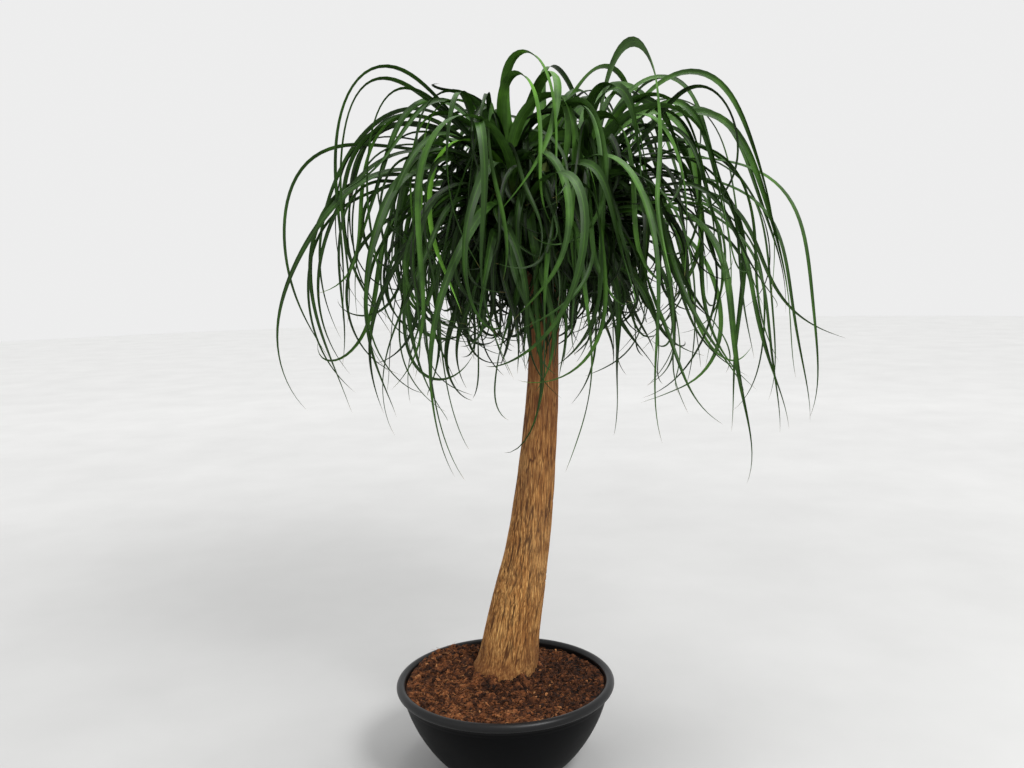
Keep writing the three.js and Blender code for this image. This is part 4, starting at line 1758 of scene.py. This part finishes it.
    def inner(self, head: Head) -> list[Leaf]:
        """Lists the leaves that hang before the trunk and the short ones that crowd a head's inside, whose
        darker tones are painted shade.

        Args:
            head: The head.

        Returns:
            The leaves, with the hanging ones first.
        """
        draws = Draws(head.seed * 3 + 11)
        leaves = list(head.hanging)
        count = int(self.inner_leaves * head.half / self.usual_half)
        for i in range(count):
            age = ((i + 0.5) / count) ** 0.8
            off = (i * GOLDEN_ANGLE + 47.0 - head.middle + 180.0) % 360.0 - 180.0
            launch = by_age(self.launch_by_age, age) + draws.between(-16.0, 22.0)
            leaf = Leaf(
                height=1.0 - age,
                turn=head.middle + off * 0.8,
                launch=min(self.inner_steepest, launch),
                length=by_age(self.inner_length_by_age, age) * draws.between(0.7, 1.3),
                droop=by_age(self.droop_by_age, age) * draws.between(0.6, 1.25),
                bend=draws.between(0.25, 0.45),
                curl=draws.between(-0.8, 3.4),
                sway=draws.between(-2.6, 2.6),
                twist=draws.between(-260.0, 260.0),
                width=draws.between(0.011, 0.018),
                # Painted shade: the leaves inside a head get darker tones for the shade inside the crown.
                tone=draws.between(-0.15, 0.34) * (1.0 - 0.5 * age),
                crossing=True,
            )
            leaves.append(leaf)
        return leaves

    def blade_width(self, leaf: Leaf, u: np.ndarray) -> np.ndarray:
        """Gives a leaf's width along it: clasping at its foot, full, then drawn out to a whip.

        Args:
            leaf: The leaf.
            u: The shares of its length.

        Returns:
            The widths there.
        """
        clasp = 1.0 + self.clasp * np.exp(-u / self.clasp_reach)
        waist = np.minimum(1.0, self.waist + self.waist_opening * u)
        run, fall = self.taper_powers
        return leaf.width * clasp * waist * (1.0 - u**run) ** fall

    @staticmethod
    def blade_faces(rows: int) -> list[Face]:
        """Gives the faces of a blade: its root, its sides and the fan at its tip.

        Args:
            rows: The rows of corners, without the tip.

        Returns:
            The faces, by their corners' numbers.
        """
        ring = len(BLADE_SECTION)
        faces: list[Face] = [tuple(range(ring))]
        for k in range(rows - 1):
            for j in range(ring):
                after = (j + 1) % ring
                faces.append((k * ring + j, (k + 1) * ring + j, (k + 1) * ring + after, k * ring + after))
        last = (rows - 1) * ring
        for j in range(ring):
            faces.append((last + j, rows * ring, last + (j + 1) % ring))
        return faces

    def blade(self, leaf: Leaf, head: Head, row_steps: int) -> tuple[np.ndarray, list[Face], np.ndarray]:
        """Makes one thin, channelled blade.

        Args:
            leaf: The leaf.
            head: The head that it grows from.
            row_steps: Steps of the path to a row of the blade.

        Returns:
            Its corners, its faces, and the place across and along it of every corner.
        """
        points, alongs, acrosses = self.path(leaf, head)
        rows = np.arange(0, self.steps, row_steps)
        u = rows / self.steps
        width = self.blade_width(leaf, u)[:, None]
        upper = np.cross(alongs, acrosses)[rows]
        across = acrosses[rows]
        middle = points[rows]
        keel = self.keel_least + (self.keel - self.keel_least) * (width / leaf.width)
        channel = np.minimum(keel * self.keel_share, width * self.channel_share)
        thick = self.thickness * (0.4 + 0.6 * np.minimum(1.0, width / leaf.width))
        corners, places = [], []
        for side, under in BLADE_SECTION:
            dip = channel * (1.0 - abs(side) ** 1.25)
            corners.append(middle + across * (width / 2.0 * side) - upper * (dip + thick * under))
            places.append(np.stack([np.full(len(u), 0.5 + side / 2.0), u], axis=-1))
        block = np.concatenate([np.stack(corners, axis=1).reshape(-1, 3), points[-1:]])
        where = np.concatenate([np.stack(places, axis=1).reshape(-1, 2), [[0.5, 1.0]]])
        return block, self.blade_faces(len(rows)), where

    def build_head(self, head: Head, finish: bpy.types.Material) -> None:
        """Makes one head with all its leaves.

        Args:
            head: The head.
            finish: The leaves' material.
        """
        full = [(leaf, self.full_row_steps) for leaf in self.grown(head) + self.slender(head)]
        inner = [(leaf, self.inner_row_steps) for leaf in self.inner(head)]
        heap = Heap()
        places = []
        for leaf, row_steps in full + inner:
            corners, faces, where = self.blade(leaf, head, row_steps)
            heap.add(corners, faces, leaf.tone)
            places.append(where)
        leaves = heap.piece(f"leaves_{head.name}")
        layer = leaves.data.uv_layers.new(name="leaf")
        order = np.empty(len(leaves.data.loops), dtype=np.int32)
        leaves.data.loops.foreach_get("vertex_index", order)
        layer.data.foreach_set("uv", np.concatenate(places)[order].astype(np.float32).ravel())
        shade(leaves, 50.0)
        add_piece(leaves, Slot.LEAF, finish, (f"head_{head.name}",))

    def core_corner(self, head: Head, u: float, v: float) -> Vector:
        """Places a corner of a growing point.

        Args:
            head: The head.
            u: The share of the way round.
            v: The share of the way up, with the flat foot in it.

        Returns:
            The corner's place.
        """
        angle = FULL_TURN * u
        share = max(0.0, (v - self.core_foot) / (1.0 - self.core_foot))
        radius = float(np.interp(share, *zip(*self.core_girth)))
        radius *= 1.0 + self.core_relief * math.sin(5.0 * angle + 40.0 * share)
        if v < self.core_foot:
            radius *= v / self.core_foot
        around = Vector((radius * math.cos(angle), radius * math.sin(angle), 0.0))
        return self.core_point(head, share) + around

    def build_core(self, head: Head, finish: bpy.types.Material) -> None:
        """Makes the growing point that the leaves clasp.

        Args:
            head: The head.
            finish: Its material.
        """
        place = partial(self.core_corner, head)
        core = rolled_grid(f"growing_point_{head.name}", self.core_sides, self.core_rows, place)
        # The growing point is coloured dark as painted shade.
        store_numbers(core, "tone", np.full(len(core.data.vertices), self.core_shade_tone))
        core.data.uv_layers[0].name = "leaf"
        shade(core, 60.0)
        add_piece(core, Slot.LEAF, finish)

    def build(self, finish: bpy.types.Material) -> None:
        """Makes every head.

        Args:
            finish: The leaves' material.
        """
        for head in self.heads:
            self.build_core(head, finish)
            self.build_head(head, finish)


@dataclass(frozen=True)
class FloorFinish:
    """A pale floor that grows lighter away from the plant: darker near it as painted shade, lighter far out
    as painted light that makes up for the lamps' falloff.
    """

    # Distance shares and tones: painted shade near the plant, painted light far out.
    tones: tuple[tuple[float, float], ...] = (
        (0.0, 0.42),
        (0.10, 0.46),
        (0.20, 0.56),
        (0.32, 0.74),
        (0.55, 0.92),
        (1.0, 0.95),
    )
    reach: float = 9.0
    blue: float = 0.99
    dullness: float = 0.9

    def build(self) -> bpy.types.Material:
        """Makes the material.

        Returns:
            The material.
        """
        sheet = NodeSheet("pale_floor")
        mottle = sheet.span(sheet.noise(sheet.where, 3.0, 3.0), 0.3, 0.7, 0.97, 1.03)
        away = sheet.add("VectorMath", {"operation": "LENGTH"}, Vector=sheet.where)
        # Painted shade near the plant and painted light far out: the floor's tone rises with distance.
        stops = [(at, (tone, tone, tone * self.blue)) for at, tone in self.tones]
        colour = sheet.ramp(sheet.span(away.outputs["Value"], 0.0, self.reach, 0.0, 1.0), stops)
        return sheet.dress(Base_Color=sheet.shaded(colour, mottle), Roughness=self.dullness)


@dataclass(frozen=True)
class SoftLight:
    """One square soft light, with its power in watts."""

    name: str
    place: tuple[float, float, float]
    target: tuple[float, float, float]
    size: float
    power: float

    def build(self) -> None:
        """Hangs the light so that it faces its target."""
        data = bpy.data.lights.new(self.name, "AREA")
        data.shape = "SQUARE"
        data.size = self.size
        data.energy = self.power
        light = bpy.data.objects.new(self.name, data)
        light.location = self.place
        ahead = Vector(self.target) - Vector(self.place)
        light.rotation_euler = ahead.to_track_quat("-Z", "Y").to_euler()
        bpy.context.scene.collection.objects.link(light)


@dataclass
class Studio:
    """The plain floor, the soft lights, the sky and the camera."""

    camera_place: tuple[float, float, float] = (0.026, -1.767, 0.930)
    camera_pitch: float = -7.0
    camera_roll: float = -1.47
    sensor_width: float = 36.0
    focal_pixels: float = 1000.0
    picture_width: float = 1024.0
    floor_radius: float = 14.0
    floor_sides: int = 128
    floor_drop: float = 0.0004
    sky_strength: float = 0.85
    lights: tuple[SoftLight, ...] = (
        SoftLight("key", (1.3, -1.8, 2.7), (0.08, 0.0, 0.8), 0.9, 80.0),
        SoftLight("fill", (-2.0, -1.6, 1.7), (0.08, 0.0, 0.7), 2.0, 4.0),
        SoftLight("top", (0.2, 0.1, 3.0), (0.05, 0.0, 0.8), 1.2, 42.0),
    )

    def build(self, finish: bpy.types.Material) -> None:
        """Sets the stage.

        Args:
            finish: The floor's material.
        """
        self.build_floor(finish)
        for light in self.lights:
            light.build()
        self.build_sky()
        self.build_camera()

    def build_floor(self, finish: bpy.types.Material) -> None:
        """Lays the floor.

        Args:
            finish: Its material.
        """
        deselect_everything()
        bpy.ops.mesh.primitive_circle_add(
            vertices=self.floor_sides,
            radius=self.floor_radius,
            fill_type="NGON",
            location=(0.0, 0.0, -self.floor_drop),
        )
        floor = bpy.context.active_object
        floor.name = "floor"
        bpy.ops.object.transform_apply(location=True, rotation=True, scale=True)
        floor.data.materials.append(finish)

    def build_sky(self) -> None:
        """Sets an even white sky, and shows colours as they are."""
        scene = bpy.context.scene
        scene.world = scene.world or bpy.data.worlds.new("sky")
        scene.world.use_nodes = True
        background = scene.world.node_tree.nodes["Background"]
        background.inputs["Color"].default_value = (1.0, 1.0, 1.0, 1.0)
        background.inputs["Strength"].default_value = self.sky_strength
        scene.view_settings.view_transform = "Standard"

    def build_camera(self) -> None:
        """Sets the camera at the photograph's viewing angle."""
        data = bpy.data.cameras.new("camera")
        data.sensor_width = self.sensor_width
        data.lens = self.sensor_width * self.focal_pixels / self.picture_width
        camera = bpy.data.objects.new("camera", data)
        camera.location = self.camera_place
        camera.rotation_mode = "XYZ"
        level = Vector((0.0, 1.0, 0.0)).to_track_quat("-Z", "Y").to_matrix().to_euler()
        camera.rotation_euler = (level.x + math.radians(self.camera_pitch), 0.0, 0.0)
        camera.rotation_euler.rotate_axis("Z", math.radians(self.camera_roll))
        bpy.context.scene.collection.objects.link(camera)
        bpy.context.scene.camera = camera


def main() -> None:
    """Builds the palm, its pot and its studio."""
    logging.basicConfig(level=logging.INFO, format="%(message)s")
    # noise_vector differs from run to run unless it has a seed.
    noise.seed_set(NOISE_SEED)
    bark = BarkFinish().build()
    leaf = LeafFinish().build()
    pot = BowlPot()
    pot.build(PotFinish().build())
    trunk = PalmTrunk()
    trunk.build(bark)
    crown = Crown(trunk)
    for head in crown.heads:
        trunk.build_branch(f"branch_{head.name}", head.foot, bark)
    soil = SoilFinish()
    compost = Compost(pot, trunk)
    compost.build(soil.build(CompostPart.BED))
    compost.build_litter(soil.build(CompostPart.LITTER))
    crown.build(leaf)
    Studio().build(FloorFinish().build())
    deselect_everything()


if __name__ == "__main__":
    main()
